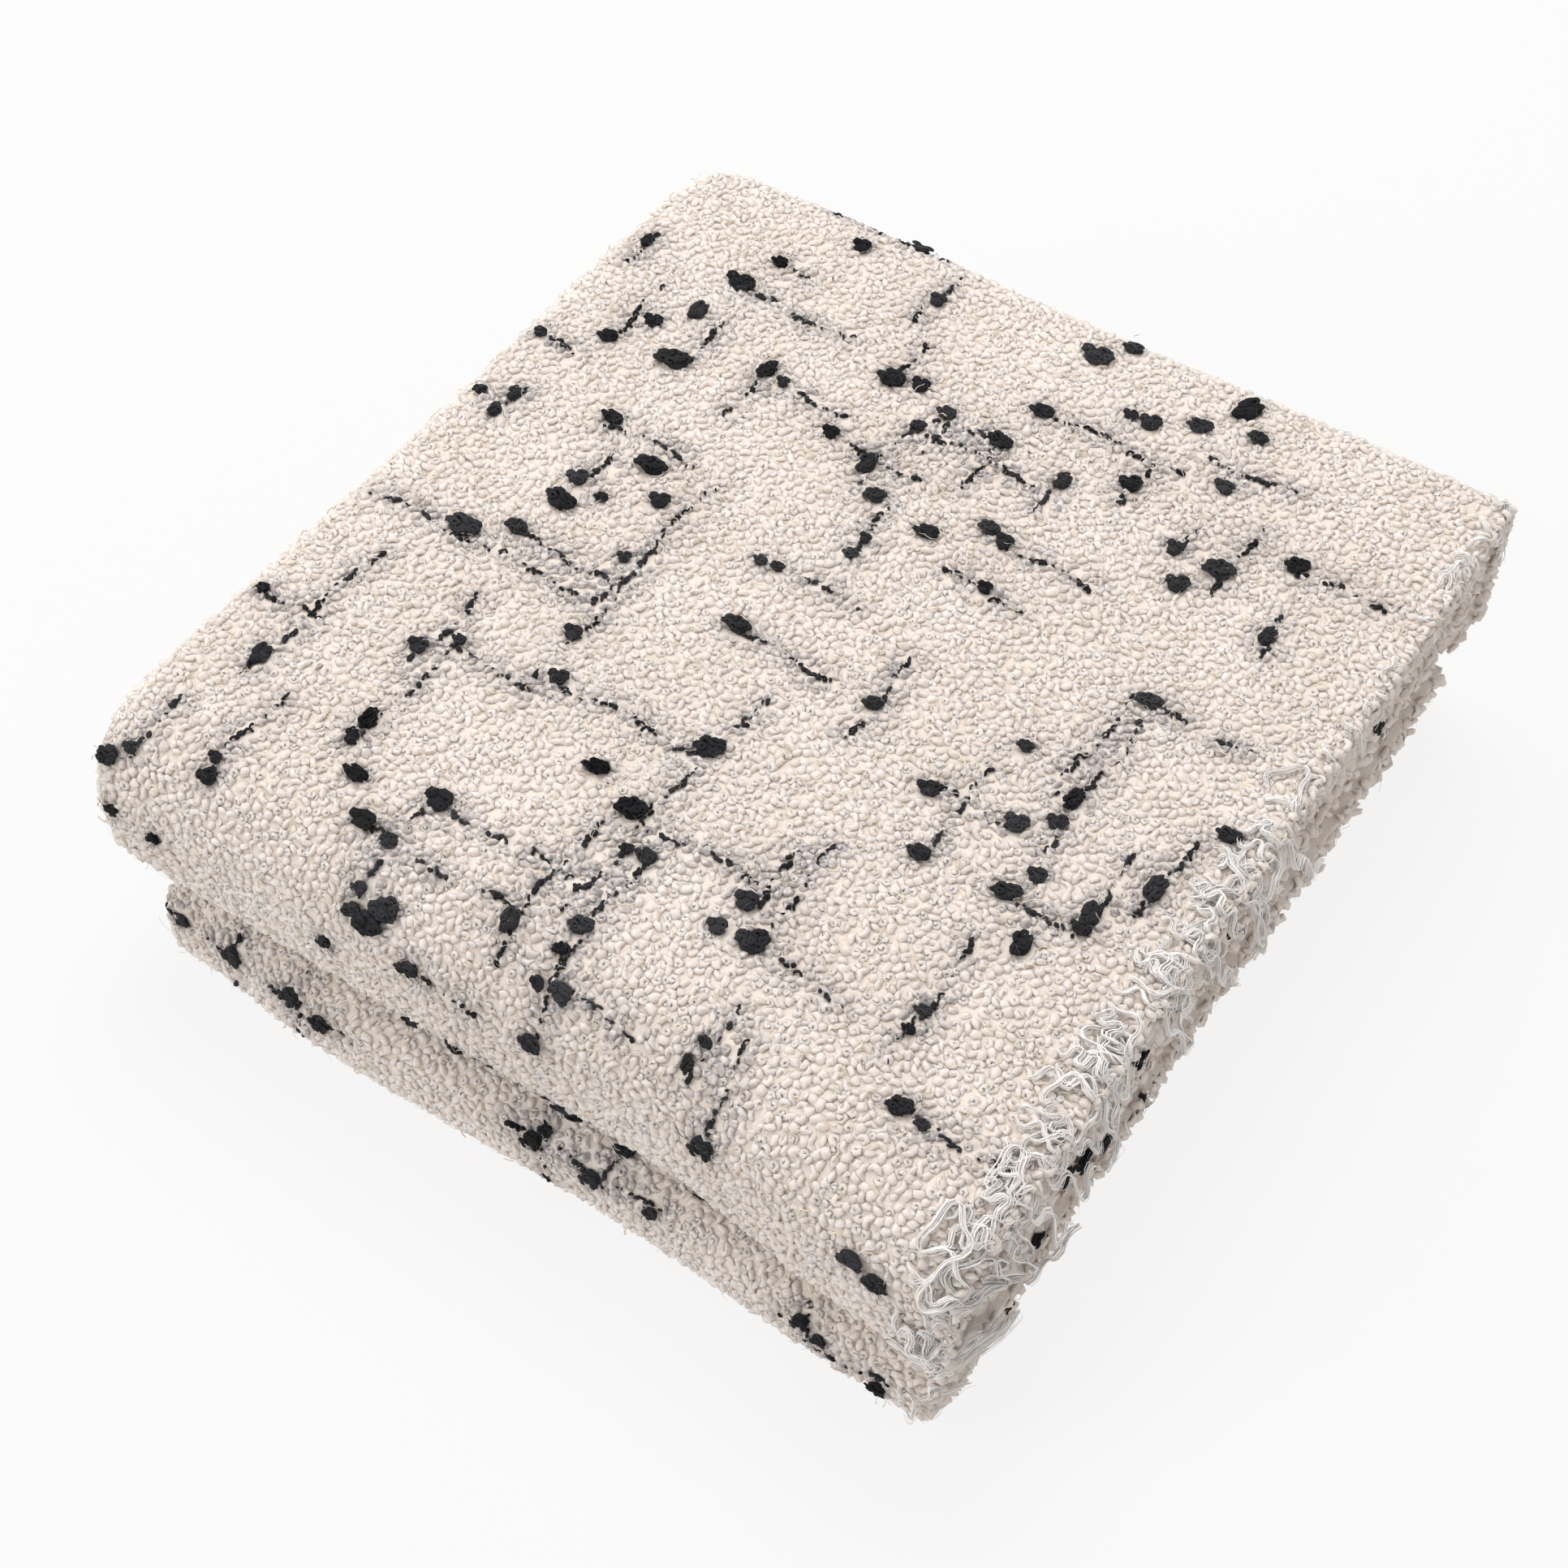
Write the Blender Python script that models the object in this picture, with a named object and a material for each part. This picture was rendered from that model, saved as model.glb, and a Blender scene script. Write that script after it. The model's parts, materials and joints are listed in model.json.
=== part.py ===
"""A folded throw blanket: one woven wool cloth, folded in thirds across its width, then both ends
folded to the middle, then closed like a book. Units are metres, +Z is up.

The origin is the centre of the footprint, on the surface the throw lies on. +X runs along the
folds, from the closed side fold to the fringed edge. -Y is the front, where the two rounded end
folds lie one on the other. +Y is the back, where the spine wraps both halves.

The cloth is modelled as the stretches between its fold lines. Each half of the book holds three
nested layers, the outer, middle and inner third of the width, and each layer runs from the spine
along the cover, round the front fold, and back along the flap.
"""

import math

import bmesh
import bpy

# Driving dimensions
FOLDED_WIDTH = 0.417          # X, with the fringe
FOLDED_DEPTH = 0.440          # Y, from the upper front fold to the spine's outer face
UPPER_LAYER = 0.0125          # thickness of a layer in the upper half, which lies loose
LOWER_LAYER = 0.0101          # the lower half is pressed flatter by the weight on it
SPINE_LAYER = 0.0113          # thickness of a layer in the spine
LAYERS = 3                    # thirds of the width, one inside the other
GAP = 0.0003                  # clearance between touching stretches of cloth

# Where the lower half lies, compared with the upper one
LOWER_FRONT_SETBACK = 0.008
LOWER_LEFT_SETBACK = 0.014
LOWER_RIGHT_SETBACK = 0.018

# Edges
SIDE_FOLD = 0.011             # how far the rounded side folds stand out beyond the flat layers
FRINGE_LENGTH = 0.014         # cut yarn ends, beyond the cloth's raw edge
FRINGE_THICKNESS = 0.005
INNER_EDGE_INSET = 0.003      # the inner third's raw edge stops just short of the closed side
FOLD_CORE = 0.002             # radius left open where the open side fold turns round the front
SPINE_ROUNDING = 0.009        # radius of the spine's two outer corners
FLAP_CLEARANCE = 0.006        # from a flap's raw end to the spine

# Facets
FOLD_STEPS = 16
RIM_STEPS = 6
CORNER_STEPS = 4

HALF_WIDTH = FOLDED_WIDTH / 2
FRONT = -FOLDED_DEPTH / 2
BACK = FOLDED_DEPTH / 2
MID_HEIGHT = 2 * LAYERS * LOWER_LAYER
HEIGHT = MID_HEIGHT + GAP + 2 * LAYERS * UPPER_LAYER

LAYER_NAMES = ("outer", "middle", "inner")
LAYER_COLOURS = {
    "outer": (0.80, 0.76, 0.68),
    "middle": (0.76, 0.70, 0.61),
    "inner": (0.72, 0.65, 0.55),
    "side": (0.84, 0.79, 0.71),
    "fringe": (0.88, 0.87, 0.85),
}


class Half:
    """The lower or the upper half of the book, measured from the centre line of its front fold.

    `up` is +1 where the cover lies above the flap, and -1 where it lies below. `flap_height` is
    the level at which the two halves' flaps meet.
    """

    def __init__(self, name, layer, up, flap_height, front, left, right):
        self.name = name
        self.layer = layer
        self.up = up
        radius = LAYERS * layer
        self.fold_y = front + radius
        self.fold_z = flap_height + up * radius
        self.left = left
        self.right = right

    def cover_end(self, layers_in):
        """The y at which a cover stops, with that many spine layers standing behind it."""
        return BACK - layers_in * SPINE_LAYER - GAP

    def flap_end(self):
        return BACK - LAYERS * SPINE_LAYER - FLAP_CLEARANCE

    def at(self, angle, radius):
        """A point round the front fold: angle 0 is on the cover's side, pi on the flap's."""
        y = self.fold_y - radius * math.sin(angle)
        z = self.fold_z + self.up * radius * math.cos(angle)
        return (y, z)

    def cover_point(self, y, radius):
        return (y, self.fold_z + self.up * radius)

    def flap_point(self, y, radius):
        return (y, self.fold_z - self.up * radius)


LOWER = Half(
    "lower", LOWER_LAYER, -1, MID_HEIGHT, FRONT + LOWER_FRONT_SETBACK,
    -HALF_WIDTH + LOWER_LEFT_SETBACK, HALF_WIDTH - LOWER_RIGHT_SETBACK,
)
UPPER = Half("upper", UPPER_LAYER, 1, MID_HEIGHT + GAP, FRONT, -HALF_WIDTH, HALF_WIDTH)


def remove_everything():
    for item in list(bpy.data.objects):
        bpy.data.objects.remove(item, do_unlink=True)


def cloth_material(kind):
    name = "cloth_" + kind
    found = bpy.data.materials.get(name)
    if found:
        return found
    material = bpy.data.materials.new(name)
    material.use_nodes = True
    shader = material.node_tree.nodes["Principled BSDF"]
    shader.inputs["Base Color"].default_value = (*LAYER_COLOURS[kind], 1.0)
    shader.inputs["Roughness"].default_value = 0.95
    shader.inputs["Metallic"].default_value = 0.0
    return material


def add_object(name, bm, kind, parent, origin):
    """Makes a node of a closed shape, with its origin on its body's hinge."""
    bmesh.ops.recalc_face_normals(bm, faces=bm.faces)
    bmesh.ops.translate(bm, vec=[-c for c in origin], verts=bm.verts)
    mesh = bpy.data.meshes.new(name)
    bm.to_mesh(mesh)
    bm.free()
    mesh.materials.append(cloth_material(kind))
    mesh.shade_smooth()
    mesh.set_sharp_from_angle(angle=math.radians(40))
    made = bpy.data.objects.new(name, mesh)
    bpy.context.collection.objects.link(made)
    made.parent = parent
    return made


def close_ends(bm, first, last):
    caps = [bm.faces.new(first), bm.faces.new(list(reversed(last)))]
    bm.normal_update()
    bmesh.ops.triangulate(bm, faces=caps)


def prism(outline, x_low, x_high):
    """A closed solid: an outline of (y, z) points drawn out along X."""
    bm = bmesh.new()
    low = [bm.verts.new((x_low, y, z)) for y, z in outline]
    high = [bm.verts.new((x_high, y, z)) for y, z in outline]
    count = len(outline)
    for i in range(count):
        j = (i + 1) % count
        bm.faces.new((low[i], low[j], high[j], high[i]))
    close_ends(bm, low, high)
    return bm


def swept(sections):
    """A closed solid through a row of matching closed sections."""
    bm = bmesh.new()
    rings = [[bm.verts.new(point) for point in section] for section in sections]
    count = len(rings[0])
    for a, b in zip(rings, rings[1:]):
        for i in range(count):
            j = (i + 1) % count
            bm.faces.new((a[i], a[j], b[j], b[i]))
    close_ends(bm, rings[0], rings[-1])
    return bm


def fold_arc(half, radius):
    return [half.at(math.pi * i / FOLD_STEPS, radius) for i in range(FOLD_STEPS + 1)]


def layer_radii(half, index):
    """Inner and outer radius of a layer's front fold; index 0 is the outer layer."""
    outer = (LAYERS - index) * half.layer - (GAP / 2 if index else 0.0)
    inner = (LAYERS - 1 - index) * half.layer + GAP / 2
    return inner, outer


def half_round(base_x, tip, middle, half_thickness):
    """The section of a side fold: (x, offset) points, flat at base_x and round at base_x + tip."""
    points = []
    for i in range(RIM_STEPS + 1):
        turn = math.pi * (i / RIM_STEPS - 0.5)
        points.append((base_x + tip * math.cos(turn), middle + half_thickness * math.sin(turn)))
    return points


def half_layers(half, parent, origin):
    """The cover, front fold and flap of each layer."""
    for index, layer in enumerate(LAYER_NAMES):
        inner, outer = layer_radii(half, index)
        left, right = layer_span(half.left, half.right, index)
        flat_start = half.fold_y + GAP
        cover_end = half.cover_end(index + 1)
        flap_end = half.flap_end()
        cover = [
            half.cover_point(flat_start, inner),
            half.cover_point(cover_end, inner),
            half.cover_point(cover_end, outer),
            half.cover_point(flat_start, outer),
        ]
        fold = fold_arc(half, outer)
        if layer != "inner":
            fold += reversed(fold_arc(half, inner))
        flap = [
            half.flap_point(flat_start, inner),
            half.flap_point(flap_end, inner),
            half.flap_point(flap_end, outer),
            half.flap_point(flat_start, outer),
        ]
        for stretch, outline in (("cover", cover), ("front_fold", fold), ("flap", flap)):
            name = f"{half.name}_{stretch}_{layer}"
            add_object(name, prism(outline, left, right), layer, parent, origin)


def layer_span(left, right, index):
    """Low and high x of a layer's flat cloth, between its side folds or raw edges."""
    closed_side = left + SIDE_FOLD + GAP
    if LAYER_NAMES[index] == "inner":
        closed_side = left + INNER_EDGE_INSET
    open_side = right - FRINGE_LENGTH
    if LAYER_NAMES[index] != "outer":
        open_side -= SIDE_FOLD + GAP
    return closed_side, open_side


def half_side_folds(half, parent, origin):
    """The rounded folds that join the outer to the middle layer, and the middle to the inner."""
    p = half.layer
    closed = half_round(half.left + SIDE_FOLD, -SIDE_FOLD, 2 * p, p - GAP / 2)
    open_base = half.right - FRINGE_LENGTH - SIDE_FOLD
    opened = half_round(open_base, SIDE_FOLD, p + FOLD_CORE / 2, p - GAP / 2 - FOLD_CORE / 2)
    folds = (("closed_side_fold", closed, 2), ("open_side_fold", opened, 3))
    for name, section, layers_in in folds:
        stations = [along_cover(half, section, half.cover_end(layers_in))]
        for i in range(FOLD_STEPS + 1):
            angle = math.pi * i / FOLD_STEPS
            stations.append([(x, *half.at(angle, offset)) for x, offset in section])
        stations.append([(x, *half.flap_point(half.flap_end(), offset)) for x, offset in section])
        add_object(f"{half.name}_{name}", swept(stations), "side", parent, origin)


def along_cover(half, section, y):
    return [(x, *half.cover_point(y, offset)) for x, offset in section]


def half_fringe(half, parent, origin):
    """The cut yarn ends along the outer layer's raw edge, round the front fold."""
    middle = (LAYERS - 0.5) * half.layer
    inner = middle - FRINGE_THICKNESS / 2
    outer = middle + FRINGE_THICKNESS / 2
    cover_end = half.cover_end(1)
    flap_end = half.flap_end()
    outline = [half.cover_point(cover_end, outer)]
    outline += fold_arc(half, outer)
    outline += [half.flap_point(flap_end, outer), half.flap_point(flap_end, inner)]
    outline += list(reversed(fold_arc(half, inner)))
    outline.append(half.cover_point(cover_end, inner))
    low = half.right - FRINGE_LENGTH + GAP
    add_object(f"{half.name}_fringe", prism(outline, low, half.right), "fringe", parent, origin)


def rounded_slab(y_low, y_high, z_low, z_high, radius):
    """An outline with its two corners at y_high rounded."""
    outline = [(y_low, z_high), (y_low, z_low)]
    for centre_z, start in ((z_low + radius, -math.pi / 2), (z_high - radius, 0.0)):
        for i in range(CORNER_STEPS + 1):
            angle = start + math.pi / 2 * i / CORNER_STEPS
            y = y_high - radius + radius * math.cos(angle)
            outline.append((y, centre_z + radius * math.sin(angle)))
    return outline


def spine(parent, origin):
    """The stretch that stands at the back and joins the two covers, layer by layer."""
    left = -HALF_WIDTH
    right = HALF_WIDTH
    for index, layer in enumerate(LAYER_NAMES):
        y_high = BACK - index * SPINE_LAYER - (GAP if index else 0.0)
        y_low = BACK - (index + 1) * SPINE_LAYER
        z_low = index * LOWER_LAYER + (GAP if index else 0.0)
        z_high = HEIGHT - index * UPPER_LAYER - (GAP if index else 0.0)
        outline = [(y_low, z_low), (y_high, z_low), (y_high, z_high), (y_low, z_high)]
        if index == 0:
            outline = rounded_slab(y_low, y_high, z_low, z_high, SPINE_ROUNDING)
        low, high = layer_span(left, right, index)
        add_object(f"spine_{layer}", prism(outline, low, high), layer, parent, origin)

    closed = half_round(left + SIDE_FOLD, -SIDE_FOLD, BACK - SPINE_LAYER, SPINE_LAYER - GAP)
    closed_z = (SPINE_ROUNDING / 2, HEIGHT - SPINE_ROUNDING / 2)
    open_base = right - FRINGE_LENGTH - SIDE_FOLD
    opened = half_round(open_base, SIDE_FOLD, BACK - 2 * SPINE_LAYER, SPINE_LAYER - GAP)
    opened_z = (LOWER_LAYER + GAP, HEIGHT - UPPER_LAYER - GAP)
    folds = (("closed_side_fold", closed, closed_z), ("open_side_fold", opened, opened_z))
    for name, section, heights in folds:
        stations = [[(x, y, z) for x, y in section] for z in heights]
        add_object(f"spine_{name}", swept(stations), "side", parent, origin)

    middle = BACK - SPINE_LAYER / 2
    y_low = middle - FRINGE_THICKNESS / 2
    y_high = middle + FRINGE_THICKNESS / 2
    z_low = LOWER_LAYER
    z_high = HEIGHT - UPPER_LAYER
    outline = [(y_low, z_low), (y_high, z_low), (y_high, z_high), (y_low, z_high)]
    fringe = prism(outline, right - FRINGE_LENGTH + GAP, right)
    add_object("spine_fringe", fringe, "fringe", parent, origin)


def hinge(name, location, parent=None, parent_location=(0.0, 0.0, 0.0)):
    """An empty on a fold line, which carries everything that turns about it."""
    empty = bpy.data.objects.new(name, None)
    empty.empty_display_size = 0.05
    bpy.context.collection.objects.link(empty)
    empty.parent = parent
    empty.location = [a - b for a, b in zip(location, parent_location)]
    return empty


def main():
    remove_everything()
    ground = (0.0, 0.0, 0.0)
    lower_line = (0.0, BACK, 0.0)
    upper_line = (0.0, BACK, HEIGHT)
    lower_half = hinge("lower_half", ground)
    spine_turn = hinge("spine_lower_fold_line", lower_line, lower_half, ground)
    upper_turn = hinge("spine_upper_fold_line", upper_line, spine_turn, lower_line)

    for half, parent, origin in ((LOWER, lower_half, ground), (UPPER, upper_turn, upper_line)):
        half_layers(half, parent, origin)
        half_side_folds(half, parent, origin)
        half_fringe(half, parent, origin)
    spine(spine_turn, lower_line)


main()
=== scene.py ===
# %% [markdown]
# # A folded throw blanket in curled wool
#
# The throw is one wide piece of boucle: a cloth woven from looped yarn, so its whole face is
# covered in small curled nubs. Dark slub yarns run through it in both directions. It is folded in
# thirds across its width, both ends are folded to the middle, and it is closed like a book.
#
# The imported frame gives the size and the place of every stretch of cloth. Everything made below
# takes its sizes from that frame.

# %% Load the frame
import json
import itertools
import math

import bmesh
import bpy
import numpy as np
from mathutils import Matrix, Vector

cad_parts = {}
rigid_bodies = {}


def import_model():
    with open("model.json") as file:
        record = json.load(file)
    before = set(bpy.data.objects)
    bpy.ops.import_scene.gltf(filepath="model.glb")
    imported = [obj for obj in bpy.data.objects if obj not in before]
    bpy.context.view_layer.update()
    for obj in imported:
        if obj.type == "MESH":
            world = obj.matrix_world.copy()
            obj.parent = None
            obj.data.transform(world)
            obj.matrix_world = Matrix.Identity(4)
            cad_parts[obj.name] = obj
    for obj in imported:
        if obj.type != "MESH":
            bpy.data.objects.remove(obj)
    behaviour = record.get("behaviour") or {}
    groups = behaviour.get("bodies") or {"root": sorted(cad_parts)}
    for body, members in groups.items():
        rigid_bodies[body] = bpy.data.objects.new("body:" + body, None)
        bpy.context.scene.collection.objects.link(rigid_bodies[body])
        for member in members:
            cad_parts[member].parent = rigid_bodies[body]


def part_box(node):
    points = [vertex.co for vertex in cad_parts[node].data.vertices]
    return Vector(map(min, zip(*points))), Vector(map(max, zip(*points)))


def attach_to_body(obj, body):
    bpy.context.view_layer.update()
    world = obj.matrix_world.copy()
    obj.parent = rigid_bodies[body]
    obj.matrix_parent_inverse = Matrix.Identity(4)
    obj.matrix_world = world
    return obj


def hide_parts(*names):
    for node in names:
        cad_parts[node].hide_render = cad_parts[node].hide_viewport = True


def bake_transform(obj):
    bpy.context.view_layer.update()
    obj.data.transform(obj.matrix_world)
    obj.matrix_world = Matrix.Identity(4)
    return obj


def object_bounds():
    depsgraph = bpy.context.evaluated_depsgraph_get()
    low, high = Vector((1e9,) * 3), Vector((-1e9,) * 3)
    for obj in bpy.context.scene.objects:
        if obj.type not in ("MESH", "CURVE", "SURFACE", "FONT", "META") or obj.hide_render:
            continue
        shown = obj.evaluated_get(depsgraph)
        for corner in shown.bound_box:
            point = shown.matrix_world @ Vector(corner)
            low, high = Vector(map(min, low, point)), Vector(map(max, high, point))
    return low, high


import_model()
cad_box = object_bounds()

# %% [markdown]
# ## Measures
#
# One cover, one fold and the spine are enough to describe the whole stack. The `half` records
# below hold what differs between the loose upper half and the pressed lower half.

# %% Read the measures
FRONT, BACK = cad_box[0].y, cad_box[1].y
LEFT, RIGHT = cad_box[0].x, cad_box[1].x
TOP = cad_box[1].z
DEPTH, WIDTH = BACK - FRONT, RIGHT - LEFT
TENTH_X, TENTH_Y = WIDTH / 10, DEPTH / 10
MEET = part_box("lower_flap_outer")[1].z
SPINE_TURN = 0.016             # radius of the spine's rounded corners
LOFT = 0.010                   # how far the closed side swells past the pressed size
BACK_LOFT = 0.014              # and the spine
SEAM_Y = BACK - 0.072          # where a half's cloth meets the cloth of the spine


def half_record(name, up):
    fold_low, fold_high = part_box(f"{name}_front_fold_outer")
    thick = fold_high.z - fold_low.z
    return {
        "name": name, "up": up, "thick": thick, "layer": thick / 6,
        "fold_y": fold_low.y + thick / 2,
        "left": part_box(f"{name}_closed_side_fold")[0].x - (LOFT if up > 0 else 0.0),
        "edge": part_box(f"{name}_cover_outer")[1].x + (0.014 if up > 0 else 0.020),
        "flap_end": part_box(f"{name}_flap_outer")[1].y,
        "meet": fold_low.z if up > 0 else fold_high.z,
        # a round fold has fullness 1; a smaller number is squarer, as where cloth hangs or is pressed
        "fold_top": 1.0 if up > 0 else 0.60, "fold_under": 0.62, "swell": 0.0 if up > 0 else 0.013,
    }


UPPER = half_record("upper", 1)
LOWER = half_record("lower", -1)
print("upper half", {k: round(v, 4) for k, v in UPPER.items() if k != "name"})

# %% [markdown]
# ## Camera, floor and light
#
# The throw lies on a plain white floor under very soft light, seen from above its near corner. The
# camera stands off that corner by a fixed share of its height above the throw.

# %% Camera
LOOK_DOWN, LOOK_LEFT = math.radians(51.0), math.radians(34.0)
camera_rise = WIDTH / 0.498
camera = bpy.data.objects.new("camera", bpy.data.cameras.new("camera"))
bpy.context.collection.objects.link(camera)
camera.data.sensor_width = 36.0
camera.data.lens = 62.7
camera.data.clip_start, camera.data.clip_end = 0.05, 20.0
near_corner = Vector((RIGHT, FRONT, TOP))
camera.location = near_corner + Vector((0.2448, -0.5035, 1.0)) * camera_rise
camera.rotation_euler = (math.pi / 2 - LOOK_DOWN, 0.0, LOOK_LEFT)
bpy.context.scene.camera = camera
print("camera height", round(camera.location.z, 3))


# %% Floor and light
def add_material(name, colour, roughness):
    material = bpy.data.materials.new(name)
    material.use_nodes = True
    shader = material.node_tree.nodes["Principled BSDF"]
    shader.inputs["Base Color"].default_value = (*colour, 1.0)
    shader.inputs["Roughness"].default_value = roughness
    return material, shader


def add_mesh(name, vertices, faces):
    mesh = bpy.data.meshes.new(name)
    mesh.from_pydata([tuple(map(float, v)) for v in vertices], [], [tuple(map(int, f)) for f in faces])
    mesh.update()
    made = bpy.data.objects.new(name, mesh)
    bpy.context.collection.objects.link(made)
    return made


FLOOR_REACH = 6.0
floor = add_mesh(
    "floor",
    [(-FLOOR_REACH, -FLOOR_REACH, -0.0005), (FLOOR_REACH, -FLOOR_REACH, -0.0005),
     (FLOOR_REACH, FLOOR_REACH, -0.0005), (-FLOOR_REACH, FLOOR_REACH, -0.0005)],
    [(0, 1, 2, 3)],
)
floor_paint, floor_shader = add_material("white_floor", (0.06, 0.06, 0.06), 0.8)
floor_shader.inputs["Emission Color"].default_value = (1.0, 0.992, 0.990, 1.0)
floor_shader.inputs["Emission Strength"].default_value = 0.85
floor.data.materials.append(floor_paint)

world = bpy.data.worlds.new("soft_white_room")
bpy.context.scene.world = world
world.use_nodes = True
sky = world.node_tree.nodes["Background"]
sky.inputs["Color"].default_value = (1.0, 0.995, 0.985, 1.0)
sky.inputs["Strength"].default_value = 0.75


def softbox(name, place, aim, size, power):
    data = bpy.data.lights.new(name, "AREA")
    data.shape = "DISK"
    data.size = size
    data.energy = power
    made = bpy.data.objects.new(name, data)
    made.location = place
    made.rotation_euler = (Vector(aim) - Vector(place)).to_track_quat("-Z", "Y").to_euler()
    bpy.context.collection.objects.link(made)
    return made


softbox("overhead_softbox", (-0.5, 0.9, 2.4), (0, 0, 0), 1.8, 44.0)
softbox("front_fill", (-1.6, -1.8, 1.5), (0, 0, 0.05), 1.6, 29.0)
bpy.context.scene.view_settings.view_transform = "Standard"


def triangles(*pieces):
    return sum(len(p.vertices) - 2 for o in pieces for p in o.data.polygons)


# %% [markdown]
# ## The shape of the folded cloth
#
# A station is a place along the cloth's length, a depth is how far under the outermost face a
# point lies. With those two, each half is a set of offset curves: up the spine, round its corner,
# along the cover, round the front fold and back along the flap. Because every layer uses the same
# stations, the layers can never cut through each other.


# %% Offset curves of a half
def curve_point(half, segment, share, depth):
    """(y, height above the meeting plane, outward normal y, outward normal z)."""
    thick = half["thick"]
    turn = max(SPINE_TURN, depth + 0.001)
    back = BACK + BACK_LOFT
    corner_y, corner_z = back - turn, thick - turn
    radius = turn - depth
    if segment == "spine":
        return back - depth, corner_z * share, 1.0, 0.0
    if segment == "corner":
        angle = share * math.pi / 2
        c, s = math.cos(angle), math.sin(angle)
        return corner_y + radius * c, corner_z + radius * s, c, s
    fold_y = half["fold_y"]
    if segment == "cover_back":
        return corner_y + (SEAM_Y - corner_y) * share, thick - depth, 0.0, 1.0
    if segment == "cover":
        return SEAM_Y + (fold_y - SEAM_Y) * share, thick - depth, 0.0, 1.0
    if segment == "fold":
        angle = share * math.pi
        c, s = math.cos(angle), math.sin(angle)
        fold_radius = thick / 2 - depth
        fullness = half["fold_top"] if c > 0 else half["fold_under"]
        swell = half["swell"] * fold_radius / (thick / 2)
        reach = (fold_radius + swell) * max(s, 0.0) ** fullness
        rise = fold_radius * math.copysign(abs(c) ** fullness, c)
        return fold_y - reach, thick / 2 + rise, -s, c
    return fold_y + (half["flap_end"] - fold_y) * share, depth, 0.0, -1.0


def stations(parts):
    """(segment, share) pairs, for parts such as (("cover", 60), ("fold", 20))."""
    found = []
    for segment, count in parts:
        first = 0 if not found else 1
        found += [(segment, i / count) for i in range(first, count + 1)]
    return found


SPINE_PARTS = (("spine", 8), ("corner", 8), ("cover_back", 8))
HALF_PARTS = (("cover", 24), ("fold", 20), ("flap", 24))

# %% [markdown]
# The cloth isn't a machined block. Its upper front fold sags over the lower one, its faces roll
# gently, and its corners are soft. One function moves any point of the ideal stack to its settled
# place, so cloth, nubs, slubs and fringe all settle alike.


# %% How the stack settles
SAG = 0.012                    # how far the meeting of the front folds drops
CORNER_SOFTNESS = 0.020


def smooth_step(t):
    t = np.clip(t, 0.0, 1.0)
    return t * t * (3 - 2 * t)


def roll(points, scale, seed):
    """Slow, repeatable waves, one number for each point."""
    x, y, z = points.T / scale
    k = seed * 1.7
    return (np.sin(1.3 * x + 0.7 * y + k) + np.sin(0.6 * x - 1.7 * y + 0.9 * z + 2.1 * k)
            + 0.6 * np.sin(2.3 * x + 1.9 * y - 1.1 * z + 0.4 * k)) / 2.6


def settle(points):
    """Ideal stack to settled stack."""
    p = np.array(points, float)
    x, y, z = p.T.copy()
    across = (x - LEFT) / WIDTH
    at_front = smooth_step((FRONT + 0.085 - y) / 0.085)
    drop = SAG * at_front * (0.75 + 0.45 * across)
    low_part = z < MEET
    meet_new = MEET - drop
    z_low = z * meet_new / MEET
    z_high = meet_new + (z - MEET) * (TOP - meet_new) / (TOP - MEET)
    z = np.where(low_part, z_low, z_high)
    height = np.clip(z / TOP, 0.0, 1.0)
    # rolls of the faces, which fade at the floor
    z = z + 0.0016 * (roll(p, 0.075, 1) - 0.9) * height
    # the front folds wander in and out a little, and the pressed lower one is set back at the left
    y = y + 0.0022 * at_front * (roll(p, 0.060, 2) + 0.35)
    right_end, left_end = smooth_step((x - 0.06) / 0.13), smooth_step((-0.11 - x) / 0.07)
    y = y - np.where(low_part, 0.002, 0.009) * right_end * at_front
    y = y + np.where(low_part, 0.006, 0.0) * left_end * at_front
    # the pressed lower half leans in at the right, but its front corner flares out
    lean = 0.008 * (1 - np.clip(z / MEET, 0, 1)) - 0.010 * smooth_step((-0.13 - y) / 0.08)
    x = x - np.where(low_part, lean, 0.0) * smooth_step((x - 0.10) / 0.08)
    # corners of the footprint are rounded, the fringed one at the back least of all
    for side, edge, back_turn, front_turn in ((-1, LEFT - LOFT, 0.010, 0.000), (1, RIGHT, 0.003, 0.004)):
        near_side = np.clip(1 - np.abs(x - edge) / (2.2 * CORNER_SOFTNESS), 0, 1)
        near_back = np.clip(1 - (BACK + BACK_LOFT - y) / (2.2 * CORNER_SOFTNESS), 0, 1)
        near_front = np.clip(1 - (y - FRONT) / (2.2 * CORNER_SOFTNESS), 0, 1)
        x = x - side * back_turn * near_back ** 2 * near_side
        x = x - side * front_turn * near_front ** 2 * near_side
        y = y - 0.5 * back_turn * near_back * near_side ** 2
    x = x + 0.0012 * roll(p[:, [1, 2, 0]], 0.05, 3) * np.abs(2 * across - 1) ** 3
    return np.stack([x, y, z], axis=1)


def half_point(half, x, station, depth):
    y, rise, normal_y, normal_z = curve_point(half, station[0], station[1], depth)
    up = half["up"]
    return (x, y, half["meet"] + up * rise), (0.0, normal_y, up * normal_z)


# %% [markdown]
# ## The ground cloth
#
# Seen end on, the width is an S of three layers joined by two rounded side folds. That S, thickened
# and swept along the stations, gives the real, unbroken cloth. Its flat size can be checked against
# a standard 130 x 180 cm throw.


# %% The S of the width
GROUND_SHARE = 0.80            # the ground weave's share of a layer; nubs fill the rest
TURN_STEPS = 8
TURN_BULGE = 1.3               # a side fold bulges this much further than a half circle


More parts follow.
